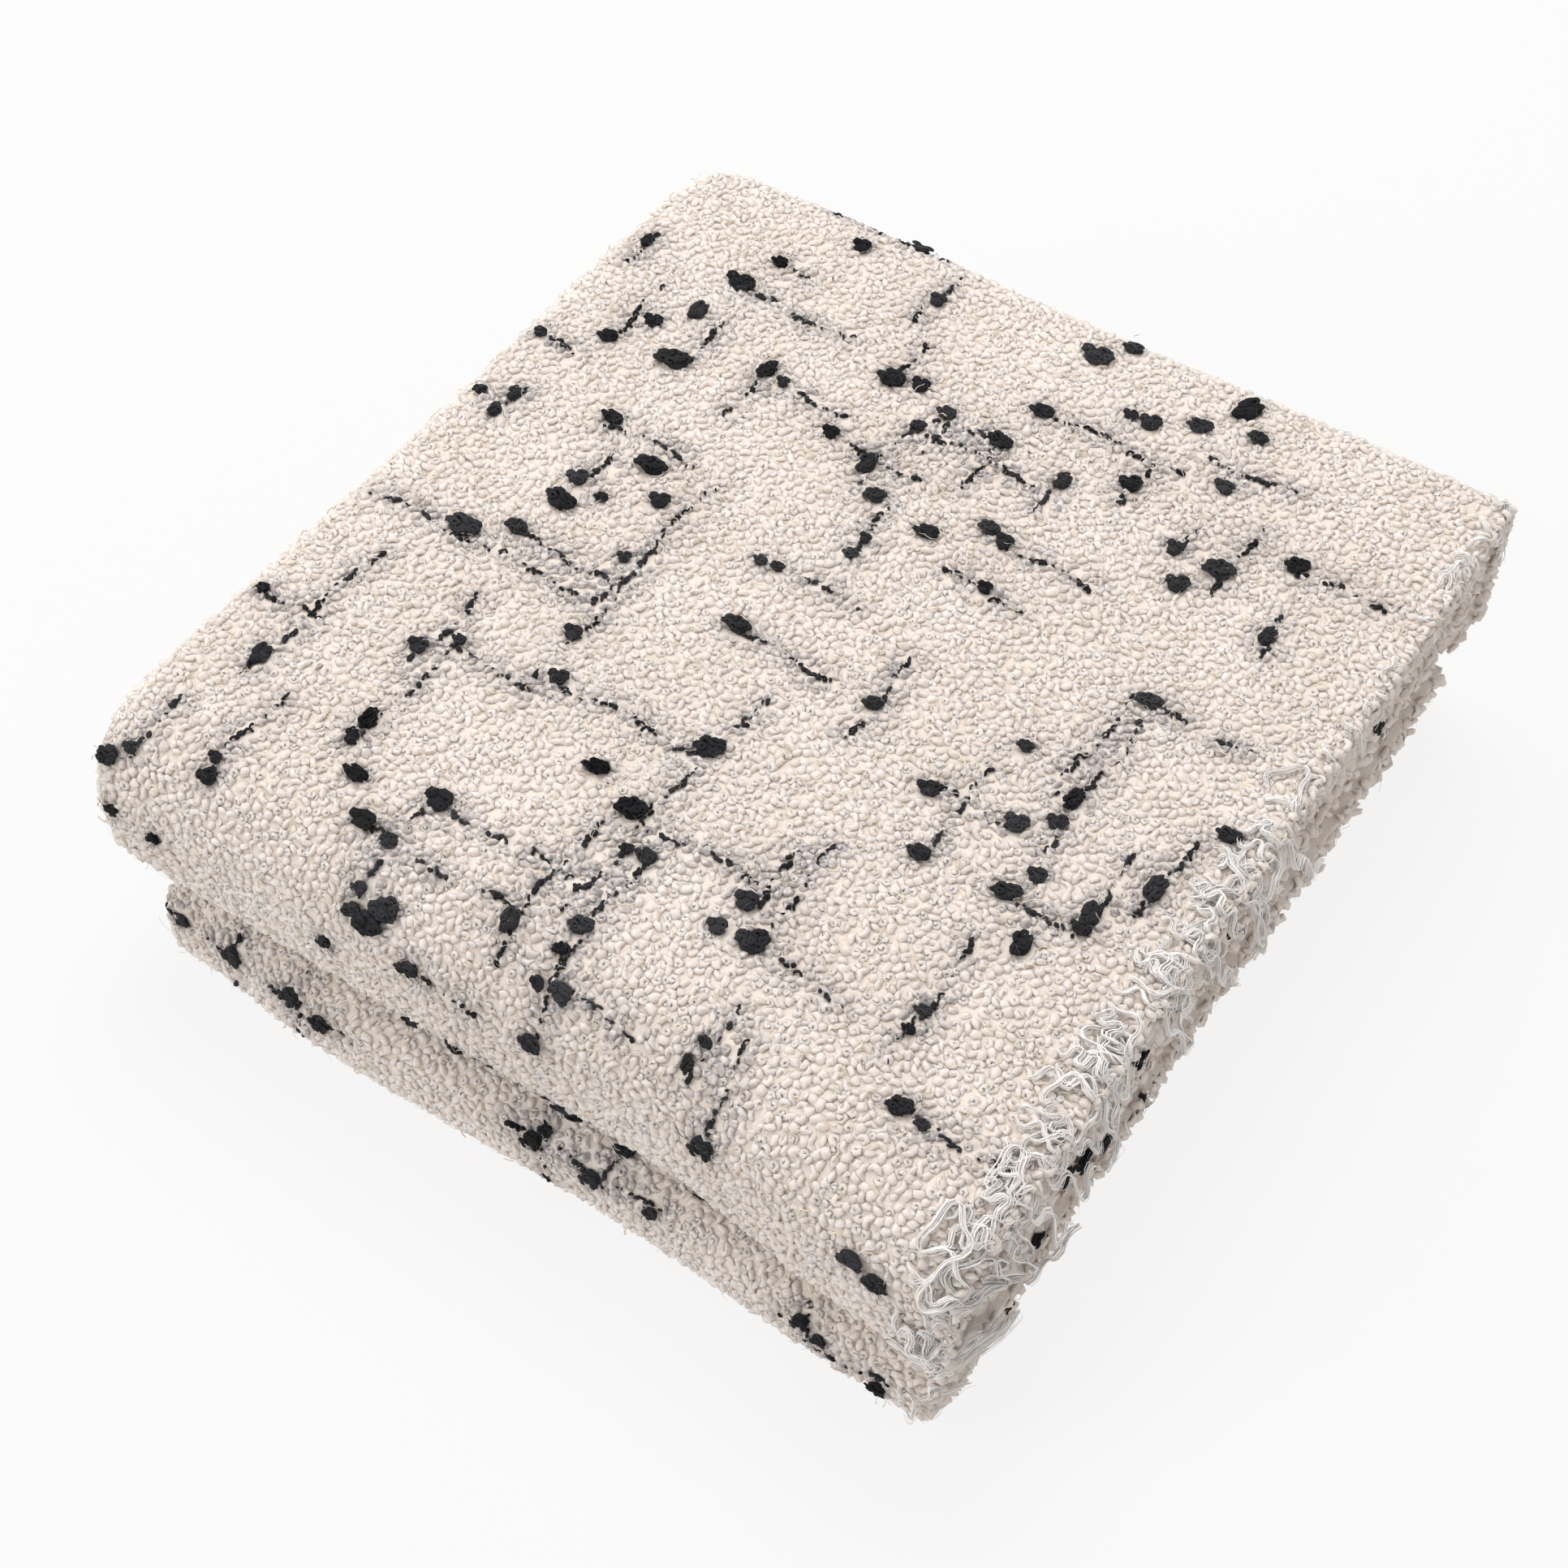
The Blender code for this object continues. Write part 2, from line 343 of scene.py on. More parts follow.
def width_line(half, steps):
    """(x, depth) along the middle of the cloth, from the fringed edge inwards."""
    layer = half["layer"]
    radius = layer / 2
    body = layer * GROUND_SHARE / 2
    bulge = TURN_BULGE * radius
    closed, opened = half["left"] + bulge + body, half["edge"] - bulge - body - 0.002
    levels = [layer / 2, 3 * layer / 2, 5 * layer / 2]
    line = []
    for i in range(steps + 1):
        line.append((half["edge"] + (closed - half["edge"]) * i / steps, levels[0]))
    for i in range(1, TURN_STEPS + 1):
        a = math.pi * i / TURN_STEPS
        line.append((closed - bulge * math.sin(a), levels[0] + radius * (1 - math.cos(a))))
    inner_steps = steps // 3
    for i in range(1, inner_steps + 1):
        line.append((closed + (opened - closed) * i / inner_steps, levels[1]))
    for i in range(1, TURN_STEPS + 1):
        a = math.pi * i / TURN_STEPS
        line.append((opened + bulge * math.sin(a), levels[1] + radius * (1 - math.cos(a))))
    inner_end = half["left"] + 0.004
    for i in range(1, inner_steps + 1):
        line.append((opened + (inner_end - opened) * i / inner_steps, levels[2]))
    return np.array(line)


def width_outline(half, steps):
    """The thickened S as a closed outline of (x, depth)."""
    line = width_line(half, steps)
    along = np.gradient(line, axis=0)
    along /= np.linalg.norm(along, axis=1)[:, None]
    side = np.stack([along[:, 1], -along[:, 0]], axis=1)
    thick = half["layer"] * GROUND_SHARE / 2
    return np.vstack([line + side * thick, (line - side * thick)[::-1]])


def swept_cloth(name, half, parts, steps=56):
    outline = width_outline(half, steps)
    places = stations(parts)
    points = [half_point(half, x, st, d)[0] for st in places for x, d in outline]
    count, rows = len(outline), len(places)
    faces = []
    for r in range(rows - 1):
        for i in range(count):
            j = (i + 1) % count
            faces.append((r * count + i, r * count + j, (r + 1) * count + j, (r + 1) * count + i))
    pairs = count // 2
    for r in (0, rows - 1):
        base = r * count
        for i in range(pairs - 1):
            quad = (base + i, base + i + 1, base + count - 2 - i, base + count - 1 - i)
            faces.append(quad if r else quad[::-1])
    made = add_mesh(name, settle(points), faces)
    make_faces_point_out(made)
    made.data.shade_smooth()
    return made


def make_faces_point_out(made):
    bm = bmesh.new()
    bm.from_mesh(made.data)
    bmesh.ops.recalc_face_normals(bm, faces=bm.faces)
    bm.to_mesh(made.data)
    bm.free()


upper_cloth = swept_cloth("upper_cloth", UPPER, HALF_PARTS)
lower_cloth = swept_cloth("lower_cloth", LOWER, HALF_PARTS)
spine_upper_cloth = swept_cloth("spine_upper_cloth", UPPER, SPINE_PARTS)
spine_lower_cloth = swept_cloth("spine_lower_cloth", LOWER, SPINE_PARTS)
for made in (upper_cloth, lower_cloth, spine_upper_cloth, spine_lower_cloth):
    print(made.name, len(made.data.polygons), "faces")

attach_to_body(upper_cloth, "upper_half")
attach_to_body(lower_cloth, "lower_half")


def bend_with_spine(piece, half):
    """Bakes the piece's place into its mesh. The piece is not attached to the spine or to a half."""
    if half is UPPER:
        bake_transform(piece)
    else:
        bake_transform(piece)


bend_with_spine(spine_upper_cloth, UPPER)
bend_with_spine(spine_lower_cloth, LOWER)

for half, cloth in ((UPPER, upper_cloth), (LOWER, lower_cloth)):
    name = half["name"]
    nodes = [f"{name}_{part}_{layer}" for part in ("cover", "front_fold", "flap")
             for layer in ("outer", "middle", "inner")]
    nodes += [f"{name}_closed_side_fold", f"{name}_open_side_fold", f"{name}_fringe"]
    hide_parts(*nodes)
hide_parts("spine_outer", "spine_middle", "spine_inner", "spine_closed_side_fold",
            "spine_open_side_fold", "spine_fringe")


# %% [markdown]
# ## Skins to grow the pile on
#
# A skin is a thin open grid that lies on one face of the ground cloth. Nothing of it is shown: the
# curled nubs and loose hairs grow from it. Each skin follows the same stations as its cloth.


# %% Skins
def skin_grid(half, places, columns):
    """columns: (x, depth) pairs across the cloth. Returns the settled grid points."""
    points = [half_point(half, x, st, d)[0] for st in places for x, d in columns]
    return settle(points).reshape(len(places), len(columns), 3)


def grid_faces(rows, count, flip):
    faces = []
    for r in range(rows - 1):
        for i in range(count - 1):
            quad = (r * count + i, r * count + i + 1, (r + 1) * count + i + 1, (r + 1) * count + i)
            faces.append(quad[::-1] if flip else quad)
    return faces


def beside(line, half, sign):
    """A line moved to one face of the cloth, with the way out: (x, depth, out x, out depth)."""
    along = np.gradient(line, axis=0)
    along /= np.linalg.norm(along, axis=1)[:, None]
    way = sign * np.stack([along[:, 1], -along[:, 0]], axis=1)
    # the line runs from the raw edge to the left, so its left-hand face is the outer one
    spots = line - way * half["layer"] * GROUND_SHARE / 2
    return np.hstack([spots, -way])


STEPS = 56


def outer_columns(half):
    """The outermost face, from the raw edge over and round the closed side fold."""
    return beside(width_line(half, STEPS), half, 1)[:STEPS + TURN_STEPS + 2]


def open_fold_columns(half):
    """Round the open side fold, from the middle layer under to the inner one."""
    first = STEPS + TURN_STEPS + STEPS // 3
    return beside(width_line(half, STEPS), half, -1)[first - 2:first + TURN_STEPS + 3]


def raw_edge_columns(half):
    return np.array([(half["edge"] + 0.0003, half["layer"] * share, 1.0, 0.0)
                     for share in (0.12, 0.35, 0.62, 0.88)])


def inner_end_columns(half):
    """The end of the innermost layer, which shows at the closed side."""
    return np.array([(half["left"] + 0.0035, half["layer"] * share, -1.0, 0.0)
                     for share in (2.12, 2.35, 2.62, 2.88)])


def inside_columns(half):
    """The innermost face, which shows when the throw is opened."""
    across = np.linspace(half["left"] + 0.006, half["edge"] - 0.014, STEPS)
    return np.array([(x, half["layer"] * (2.5 + GROUND_SHARE / 2), 0.0, 1.0) for x in across])


def make_skin(name, half, places, columns):
    """A grid over the stations. Its faces are turned so that they look out of the cloth."""
    grid = skin_grid(half, places, [c[:2] for c in columns])
    lifted = skin_grid(half, places, [c[:2] + 0.001 * c[2:] for c in columns])
    rows, count = grid.shape[:2]
    side_way = grid[:-1, 1:] - grid[:-1, :-1]
    long_way = grid[1:, :-1] - grid[:-1, :-1]
    facing = (np.cross(side_way, long_way) * (lifted - grid)[:-1, :-1]).sum()
    return add_mesh(name, grid.reshape(-1, 3), grid_faces(rows, count, facing < 0))


# %% [markdown]
# ## Curled nubs, modelled once
#
# A nub is a short length of looped yarn: a ring, an arch, a hook or a small pillow. Eight shapes
# are modelled by simple rules and reused thousands of times, so each keeps to a few dozen faces.


# %% Tubes along a path
def tube(path, radii, sides):
    """A closed tube along a path, with pointed ends. Returns vertices and faces."""
    path = np.array(path, float)
    along = np.gradient(path, axis=0)
    along /= np.linalg.norm(along, axis=1)[:, None]
    side = np.cross(along[0], (0.13, 0.29, 0.95))
    side /= np.linalg.norm(side)
    vertices, faces = [path[0] - along[0] * radii[0] * 0.5], []
    for i, (p, a, r) in enumerate(zip(path, along, radii)):
        side = side - a * side.dot(a)
        side /= np.linalg.norm(side)
        other = np.cross(a, side)
        for k in range(sides):
            turn = 2 * math.pi * k / sides
            vertices.append(p + r * (math.cos(turn) * side + math.sin(turn) * other))
    vertices.append(path[-1] + along[-1] * radii[-1] * 0.5)
    for k in range(sides):
        n = (k + 1) % sides
        faces.append((0, 1 + n, 1 + k))
        for i in range(len(path) - 1):
            a, b = 1 + i * sides, 1 + (i + 1) * sides
            faces.append((a + k, a + n, b + n, b + k))
        last = 1 + (len(path) - 1) * sides
        faces.append((last + k, last + n, len(vertices) - 1))
    return np.array(vertices), faces


def join_shapes(shapes):
    vertices, faces, offset = [], [], 0
    for v, f in shapes:
        vertices.append(v)
        faces += [tuple(i + offset for i in face) for face in f]
        offset += len(v)
    return np.vstack(vertices), faces


def arc(radius_from, radius_to, turn, height_from, height_to, count, tilt=0.0):
    t = np.linspace(0, 1, count)
    radius = radius_from + (radius_to - radius_from) * t
    angle = turn * t * 2 * math.pi
    x, y = radius * np.cos(angle), radius * np.sin(angle)
    z = height_from + (height_to - height_from) * t
    return np.stack([x, y * math.cos(tilt), z + y * math.sin(tilt)], axis=1)


def curl_radii(count, thick, tip=0.45):
    t = np.linspace(0, 1, count)
    return thick * (tip + (1 - tip) * np.sin(math.pi * np.clip(t, 0.06, 0.94)) ** 0.5)


def curl_shapes(sides, detail):
    """The nub shapes in metres, sunk a little below z = 0."""
    mm = 0.001

    def pillow(points, radii):
        return tube(np.array(points) * mm, np.array(radii) * mm, sides + 1)

    return {
        "ring": tube(arc(1.15, 1.0, 1.1, -0.3, 0.4, detail + 1) * mm,
                     curl_radii(detail + 1, 1.2 * mm), sides),
        "snail": tube(arc(1.9, 0.5, 1.3, -0.5, 0.5, detail + 2) * mm,
                      curl_radii(detail + 2, 1.0 * mm), sides),
        "arch": tube(arc(1.7, 1.7, 0.5, -0.9, -0.9, detail, 1.25) * mm, curl_radii(detail, 1.2 * mm), sides),
        "bean": pillow([(-1.5, -0.5, -0.6), (-0.6, 0.3, -0.2), (0.6, 0.2, -0.1), (1.5, -0.5, -0.6)],
                       [1.1, 1.8, 1.7, 1.1]),
        "bun": pillow([(-0.9, 0.1, -0.5), (-0.2, -0.1, 0.0), (0.5, 0.0, 0.0), (1.1, 0.2, -0.6)],
                      [1.3, 2.1, 2.0, 1.2]),
        "roll": pillow([(-2.0, 0.3, -0.6), (-0.8, -0.3, 0.0), (0.8, 0.2, 0.1), (2.0, -0.1, -0.6)],
                       [0.9, 1.5, 1.6, 0.9]),
        "hook": tube(np.array([(-2.2, -0.6, -0.7), (-1.0, 0.5, 0.2), (0.4, 0.7, 0.4), (1.4, -0.2, 0.3),
                               (0.6, -1.2, -0.2), (-0.6, -1.0, -0.6)]) * mm,
                     np.array([0.8, 1.15, 1.2, 1.15, 1.0, 0.7]) * mm, sides),
        "bow": tube(np.array([(-2.6, -1.2, -0.9), (-1.7, 0.3, -0.1), (-0.2, 1.2, 0.6), (1.3, 0.5, 0.3),
                              (2.2, -0.9, -0.8)]) * mm,
                    np.array([0.8, 1.1, 1.2, 1.1, 0.8]) * mm, sides),
    }


def shape_family(name, shapes):
    family = bpy.data.collections.new(name)
    bpy.context.scene.collection.children.link(family)
    for i, (kind, (vertices, faces)) in enumerate(sorted(shapes.items())):
        mesh = bpy.data.meshes.new(f"{name}_{kind}")
        mesh.from_pydata([tuple(map(float, v)) for v in vertices], [], faces)
        mesh.shade_smooth()
        made = bpy.data.objects.new(f"{i}_{name}_{kind}", mesh)
        family.objects.link(made)
    return family


fine_curls = shape_family("fine_curls", curl_shapes(4, 6))
plain_curls = shape_family("plain_curls", {
    k: v for k, v in curl_shapes(3, 4).items() if k in ("bow", "arch", "bun")})

# %% [markdown]
# Loose hairs soften every edge. They are three-sided threads, a few tenths of a millimetre thick.


# %% Hairs
def hair_shapes(thick, seed, count=6):
    rng = np.random.default_rng(seed)
    shapes = {}
    for i in range(count):
        steps = 6
        heading = rng.uniform(0, 2 * math.pi)
        bend = rng.uniform(-1.1, 1.1, steps)
        rise = rng.uniform(-0.25, 0.45)
        point, path = np.array([0.0, 0.0, 0.0026]), []
        for k in range(steps):
            path.append(point.copy())
            heading += bend[k]
            point = point + 0.0016 * np.array([math.cos(heading), math.sin(heading),
                                               rise * math.cos(k * math.pi / steps)])
        shapes[f"hair{i}"] = tube(path, np.full(steps, thick), 3)
    return shapes


hairs = shape_family("hairs", hair_shapes(0.00012, 5))
threads = shape_family("threads", hair_shapes(0.00036, 6))

# %% [markdown]
# ## The growing rule
#
# One Geometry Nodes tree spreads points evenly over a skin, sets a random shape on each, turns it
# and gives it a tone. The evenness is what makes boucle: nubs crowd shoulder to shoulder. Two smaller
# trees set shapes on points that are placed one by one, and spin strands round the lines of the fringe.


# %% Node helpers
def add_node(tree, kind, inputs=(), **settings):
    """A node with its settings and inputs. An input is a constant, a socket or another node."""
    node = tree.nodes.new(kind)
    for label, value in settings.items():
        setattr(node, label, value)
    for label, value in dict(inputs).items():
        if isinstance(label, int):
            socket = node.inputs[label]
        else:
            socket = next(s for s in node.inputs if s.enabled and s.name == label)
        if isinstance(value, bpy.types.Node):
            value = first_output(value)
        if isinstance(value, bpy.types.NodeSocket):
            tree.links.new(value, socket)
        else:
            socket.default_value = value
    return node


def first_output(node):
    return next(s for s in node.outputs if s.enabled)


def new_tree(name, inputs):
    tree = bpy.data.node_groups.new(name, "GeometryNodeTree")
    tree.interface.new_socket("Geometry", in_out="INPUT", socket_type="NodeSocketGeometry")
    for label, kind, value in inputs:
        socket = tree.interface.new_socket(label, in_out="INPUT", socket_type=kind)
        if value is not None:
            socket.default_value = value
    tree.interface.new_socket("Geometry", in_out="OUTPUT", socket_type="NodeSocketGeometry")
    return tree, tree.nodes.new("NodeGroupInput"), tree.nodes.new("NodeGroupOutput")


def finish_tree(tree, geometry, given, out):
    real = add_node(tree, "GeometryNodeRealizeInstances", {0: geometry})
    paint = add_node(tree, "GeometryNodeSetMaterial", {
        "Geometry": real, "Material": given.outputs["Material"]})
    tree.links.new(paint.outputs[0], out.inputs[0])
    return tree


def named_value(tree, label, kind):
    return add_node(tree, "GeometryNodeInputNamedAttribute", {"Name": label}, data_type=kind)


def random_value(tree, low, high, seed, offset, kind="FLOAT"):
    own_seed = add_node(tree, "ShaderNodeMath", {0: seed, 1: offset})
    return add_node(tree, "FunctionNodeRandomValue", {"Min": low, "Max": high, "Seed": own_seed},
                    data_type=kind)


# %% The three trees
MOST_POINTS = 1500000.0        # points tried on a square metre before they are thinned to the spacing


def set_shapes(tree, given, points, which, turn, size):
    """One shape of the given family on every point."""
    shapes = add_node(tree, "GeometryNodeCollectionInfo", {
        "Collection": given.outputs["Shapes"], "Separate Children": True, "Reset Children": True})
    return add_node(tree, "GeometryNodeInstanceOnPoints", {
        "Points": points, "Instance": shapes, "Pick Instance": True, "Instance Index": which,
        "Rotation": turn, "Scale": size})


def clear_points(tree, points, given):
    """Leaves out the points that would grow over a slub."""
    slubs = add_node(tree, "GeometryNodeObjectInfo", {"Object": given.outputs["Clear Round"]})
    near = add_node(tree, "GeometryNodeProximity", {0: slubs.outputs["Geometry"]},
                    target_element="POINTS")
    closer = add_node(tree, "FunctionNodeCompare", {
        "A": near.outputs["Distance"], "B": given.outputs["Clearance"]},
        data_type="FLOAT", operation="LESS_THAN")
    return add_node(tree, "GeometryNodeDeleteGeometry", {"Geometry": points, "Selection": closer},
                    domain="POINT")


def growing_tree():
    tree, given, out = new_tree("grow_pile", [
        ("Shapes", "NodeSocketCollection", None), ("Spacing", "NodeSocketFloat", 0.004),
        ("Smallest", "NodeSocketFloat", 0.8), ("Largest", "NodeSocketFloat", 1.2),
        ("Lean", "NodeSocketFloat", 0.3), ("Seed", "NodeSocketInt", 0),
        ("Clear Round", "NodeSocketObject", None), ("Clearance", "NodeSocketFloat", 0.002),
        ("Material", "NodeSocketMaterial", None)])
    seed = given.outputs["Seed"]
    spread = add_node(tree, "GeometryNodeDistributePointsOnFaces", {
        "Mesh": given.outputs["Geometry"], "Distance Min": given.outputs["Spacing"],
        "Density Max": MOST_POINTS, "Seed": seed}, distribute_method="POISSON")
    tilts = [add_node(tree, "ShaderNodeMath", {
        0: random_value(tree, -1.0, 1.0, seed, offset), 1: given.outputs["Lean"]},
        operation="MULTIPLY") for offset in (1, 2)]
    angles = add_node(tree, "ShaderNodeCombineXYZ", {
        "X": tilts[0], "Y": tilts[1], "Z": random_value(tree, 0.0, 2 * math.pi, seed, 3)})
    turn = add_node(tree, "FunctionNodeRotateRotation", {
        "Rotation": spread.outputs["Rotation"],
        "Rotate By": add_node(tree, "FunctionNodeEulerToRotation", {0: angles})},
        rotation_space="LOCAL")
    size = add_node(tree, "ShaderNodeMapRange", {
        "Value": random_value(tree, 0.0, 1.0, seed, 4), "To Min": given.outputs["Smallest"],
        "To Max": given.outputs["Largest"]})
    grown = set_shapes(tree, given, clear_points(tree, spread.outputs["Points"], given),
                       random_value(tree, 0, 997, seed, 5, "INT"), turn, size)
    toned = add_node(tree, "GeometryNodeStoreNamedAttribute", {
        "Geometry": grown, "Name": "tone", "Value": random_value(tree, 0.0, 1.0, seed, 6)},
        data_type="FLOAT", domain="INSTANCE")
    return finish_tree(tree, toned, given, out)


def placing_tree():
    tree, given, out = new_tree("place_by_hand", [
        ("Shapes", "NodeSocketCollection", None), ("Material", "NodeSocketMaterial", None)])
    turn = add_node(tree, "FunctionNodeEulerToRotation", {0: named_value(tree, "turn", "FLOAT_VECTOR")})
    placed = set_shapes(tree, given, given.outputs["Geometry"], named_value(tree, "kind", "INT"), turn,
                        named_value(tree, "size", "FLOAT_VECTOR"))
    return finish_tree(tree, placed, given, out)


def strand_tree():
    tree, given, out = new_tree("spin_strands", [
        ("Sides", "NodeSocketInt", 4), ("Material", "NodeSocketMaterial", None)])
    thick = named_value(tree, "thick", "FLOAT")
    line = add_node(tree, "GeometryNodeMeshToCurve", {0: given.outputs["Geometry"]})
    sized = add_node(tree, "GeometryNodeSetCurveRadius", {"Curve": line, "Radius": thick})
    ring = add_node(tree, "GeometryNodeCurvePrimitiveCircle", {
        "Radius": 1.0, "Resolution": given.outputs["Sides"]})
    sweep = add_node(tree, "GeometryNodeCurveToMesh", {
        "Curve": sized, "Profile Curve": ring, "Fill Caps": True})
    if "Scale" in sweep.inputs:
        tree.links.new(first_output(thick), sweep.inputs["Scale"])
    return finish_tree(tree, add_node(tree, "GeometryNodeSetShadeSmooth", {0: sweep}), given, out)


GROW, PLACE, STRAND = growing_tree(), placing_tree(), strand_tree()


def run_tree(name, source, tree, **values):
    """Evaluates a tree on a source object and keeps the plain mesh under a new name."""
    modifier = source.modifiers.new("rule", "NODES")
    modifier.node_group = tree
    sockets = {s.name: s.identifier for s in tree.interface.items_tree if s.in_out == "INPUT"}
    for label, value in values.items():
        modifier[sockets[label]] = value
    graph = bpy.context.evaluated_depsgraph_get()
    graph.update()
    mesh = bpy.data.meshes.new_from_object(
        source.evaluated_get(graph), preserve_all_data_layers=True, depsgraph=graph)
    mesh.name = name
    made = bpy.data.objects.new(name, mesh)
    bpy.context.collection.objects.link(made)
    bpy.data.objects.remove(source)
    return made


# %% [markdown]
# ## Wool
#
# Cream wool has a soft, warm body with a slight glow at grazing angles. Its tone changes from nub
# to nub, and it greys where a dark yarn passes close by.


# %% Shared wool effects
def new_group(name, inputs, output):
    """A shader group with its inputs and one output, each a (label, socket kind) pair."""
    group = bpy.data.node_groups.new(name, "ShaderNodeTree")
    for label, kind in inputs:
        group.interface.new_socket(label, in_out="INPUT", socket_type=kind)
    group.interface.new_socket(output[0], in_out="OUTPUT", socket_type=output[1])
    return group, group.nodes.new("NodeGroupInput"), group.nodes.new("NodeGroupOutput")


def noise_in_place(group, **values):
    place = add_node(group, "ShaderNodeTexCoord")
    return add_node(group, "ShaderNodeTexNoise", {"Vector": place.outputs["Object"], **values})


def stretched(group, value, low, high):
    """A value stretched so that low becomes 0 and high becomes 1."""
    return add_node(group, "ShaderNodeMapRange", {"Value": value, "From Min": low, "From Max": high})


def fibre_group():
    """Height of fine combed fibres, for a Bump node."""
    group, given, out = new_group("fine_fibres", [("Scale", "NodeSocketFloat")],
                                  ("Height", "NodeSocketFloat"))
    grain = noise_in_place(group, Detail=4.0, Roughness=0.7, Distortion=1.6,
                           Scale=given.outputs["Scale"])
    group.links.new(grain.outputs[0], out.inputs["Height"])
    return group


def blend_colours(group, share, low, high):
    return add_node(group, "ShaderNodeMix", {"Factor": share, "A": low, "B": high},
                    data_type="RGBA", clamp_factor=True)


def wool_tone_group():
    """Tone from nub to nub, slow patches over the cloth, and grey haze near the dark yarns."""
    colours = ("Light", "Deep", "Haze Colour")
    group, given, out = new_group("wool_tone", [(label, "NodeSocketColor") for label in colours],
                                  ("Colour", "NodeSocketColor"))
    tone = add_node(group, "ShaderNodeAttribute", attribute_name="tone")
    haze = add_node(group, "ShaderNodeAttribute", attribute_name="haze")
    patches = stretched(group, noise_in_place(group, Scale=24.0, Detail=2.0), 0.36, 0.64)
    flecks = stretched(group, noise_in_place(group, Scale=420.0, Detail=3.0), 0.34, 0.62)
    from_patches = add_node(group, "ShaderNodeMath", {0: patches, 1: 0.45}, operation="MULTIPLY")
    lightness = add_node(group, "ShaderNodeMath", {0: tone.outputs["Fac"], 1: 0.55, 2: from_patches},
                         operation="MULTIPLY_ADD")
    grey = add_node(group, "ShaderNodeMath", {0: haze.outputs["Fac"], 1: flecks},
                    operation="MULTIPLY", use_clamp=True)
    clean = blend_colours(group, lightness, given.outputs["Deep"], given.outputs["Light"])
    hazed = blend_colours(group, grey, clean, given.outputs["Haze Colour"])
    group.links.new(first_output(hazed), out.inputs["Colour"])
    return group


FIBRES, WOOL_TONE = fibre_group(), wool_tone_group()


def wool(name, light, deep, haze_colour, rough=0.95, sheen=0.08, bump=0.5, scale=1800.0,
         fuzz=0.0, glow=0.0):
    """fuzz thins the edges, glow lets light pass a millimetre into the wool."""
    material, shader = add_material(name, light, rough)
    tree = material.node_tree
    tone = add_node(tree, "ShaderNodeGroup", node_tree=WOOL_TONE)
    for label, value in (("Light", light), ("Deep", deep), ("Haze Colour", haze_colour)):
        tone.inputs[label].default_value = (*value, 1.0)
    tree.links.new(tone.outputs["Colour"], shader.inputs["Base Color"])
    fibres = add_node(tree, "ShaderNodeGroup", node_tree=FIBRES)
    fibres.inputs["Scale"].default_value = scale
    relief = add_node(tree, "ShaderNodeBump", {
        "Height": fibres.outputs["Height"], "Strength": bump, "Distance": 0.0006})
    tree.links.new(relief.outputs["Normal"], shader.inputs["Normal"])
    shader.inputs["Sheen Weight"].default_value = sheen
    shader.inputs["Sheen Roughness"].default_value = 0.6
    shader.inputs["Specular IOR Level"].default_value = 0.06
    shader.inputs["Subsurface Weight"].default_value = glow
    shader.inputs["Subsurface Radius"].default_value = (1.0, 0.92, 0.85)
    shader.inputs["Subsurface Scale"].default_value = 0.0012
    if fuzz:
        add_fuzzy_edge(tree, shader, fuzz)
    return material


def add_fuzzy_edge(tree, shader, amount):
    """Lets the surface thin out in flecks where it turns away, like the loose fibres of a nub."""
    turned = add_node(tree, "ShaderNodeLayerWeight", {"Blend": 0.5})
    flecks = add_node(tree, "ShaderNodeGroup", node_tree=FIBRES)
    flecks.inputs["Scale"].default_value = 2600.0
    near_edge = stretched(tree, turned.outputs["Facing"], 0.60, 0.95)
    fleck_mask = stretched(tree, flecks.outputs["Height"], 0.40, 0.60)
    thin = add_node(tree, "ShaderNodeMath", {0: near_edge, 1: fleck_mask}, operation="MULTIPLY")
    solid = add_node(tree, "ShaderNodeMath", {0: thin, 1: -amount, 2: 1.0},
                     operation="MULTIPLY_ADD", use_clamp=True)
    tree.links.new(solid.outputs[0], shader.inputs["Alpha"])


cream = wool("cream_wool", (0.88, 0.807, 0.757), (0.81, 0.727, 0.665), (0.27, 0.255, 0.27),
             bump=1.0, scale=1300.0, fuzz=0.4, glow=0.6)
# The ground weave is partly the cloth's own beige and partly painted shade: it is made darker and warmer
# than the nubs to paint the shade in the gaps between them.
weave_and_gap_shade = wool("ground_weave", (0.82, 0.745, 0.685), (0.73, 0.645, 0.575), (0.16, 0.15, 0.155),
              bump=1.0, scale=500.0)
pale = wool("pale_fringe_wool", (0.96, 0.935, 0.915), (0.93, 0.895, 0.87), (0.45, 0.44, 0.44))
sandy = wool("sandy_thread", (0.86, 0.74, 0.58), (0.80, 0.68, 0.51), (0.4, 0.37, 0.35))
charcoal = wool("charcoal_wool", (0.050, 0.049, 0.054), (0.006, 0.006, 0.008), (0.07, 0.07, 0.08),
                sheen=0.03, bump=1.0, scale=700.0)
add_fuzzy_edge(charcoal.node_tree, charcoal.node_tree.nodes["Principled BSDF"], 0.9)
ash = wool("ash_hairs", (0.16, 0.155, 0.165), (0.05, 0.05, 0.055), (0.10, 0.10, 0.11), sheen=0.1)
for made in (upper_cloth, lower_cloth, spine_upper_cloth, spine_lower_cloth):
    made.data.materials.append(weave_and_gap_shade)

# %% [markdown]
# ## The weave draft
#
# Dark yarn runs through the weave in both directions and surfaces now and then. Where it is spun
# thick it shows as an oval slub; where thin, as a dotted line. The draft lists the runs and slubs of
# the face that lies on top, in tenths of its width from the closed side and in tenths of its depth
# from the front.

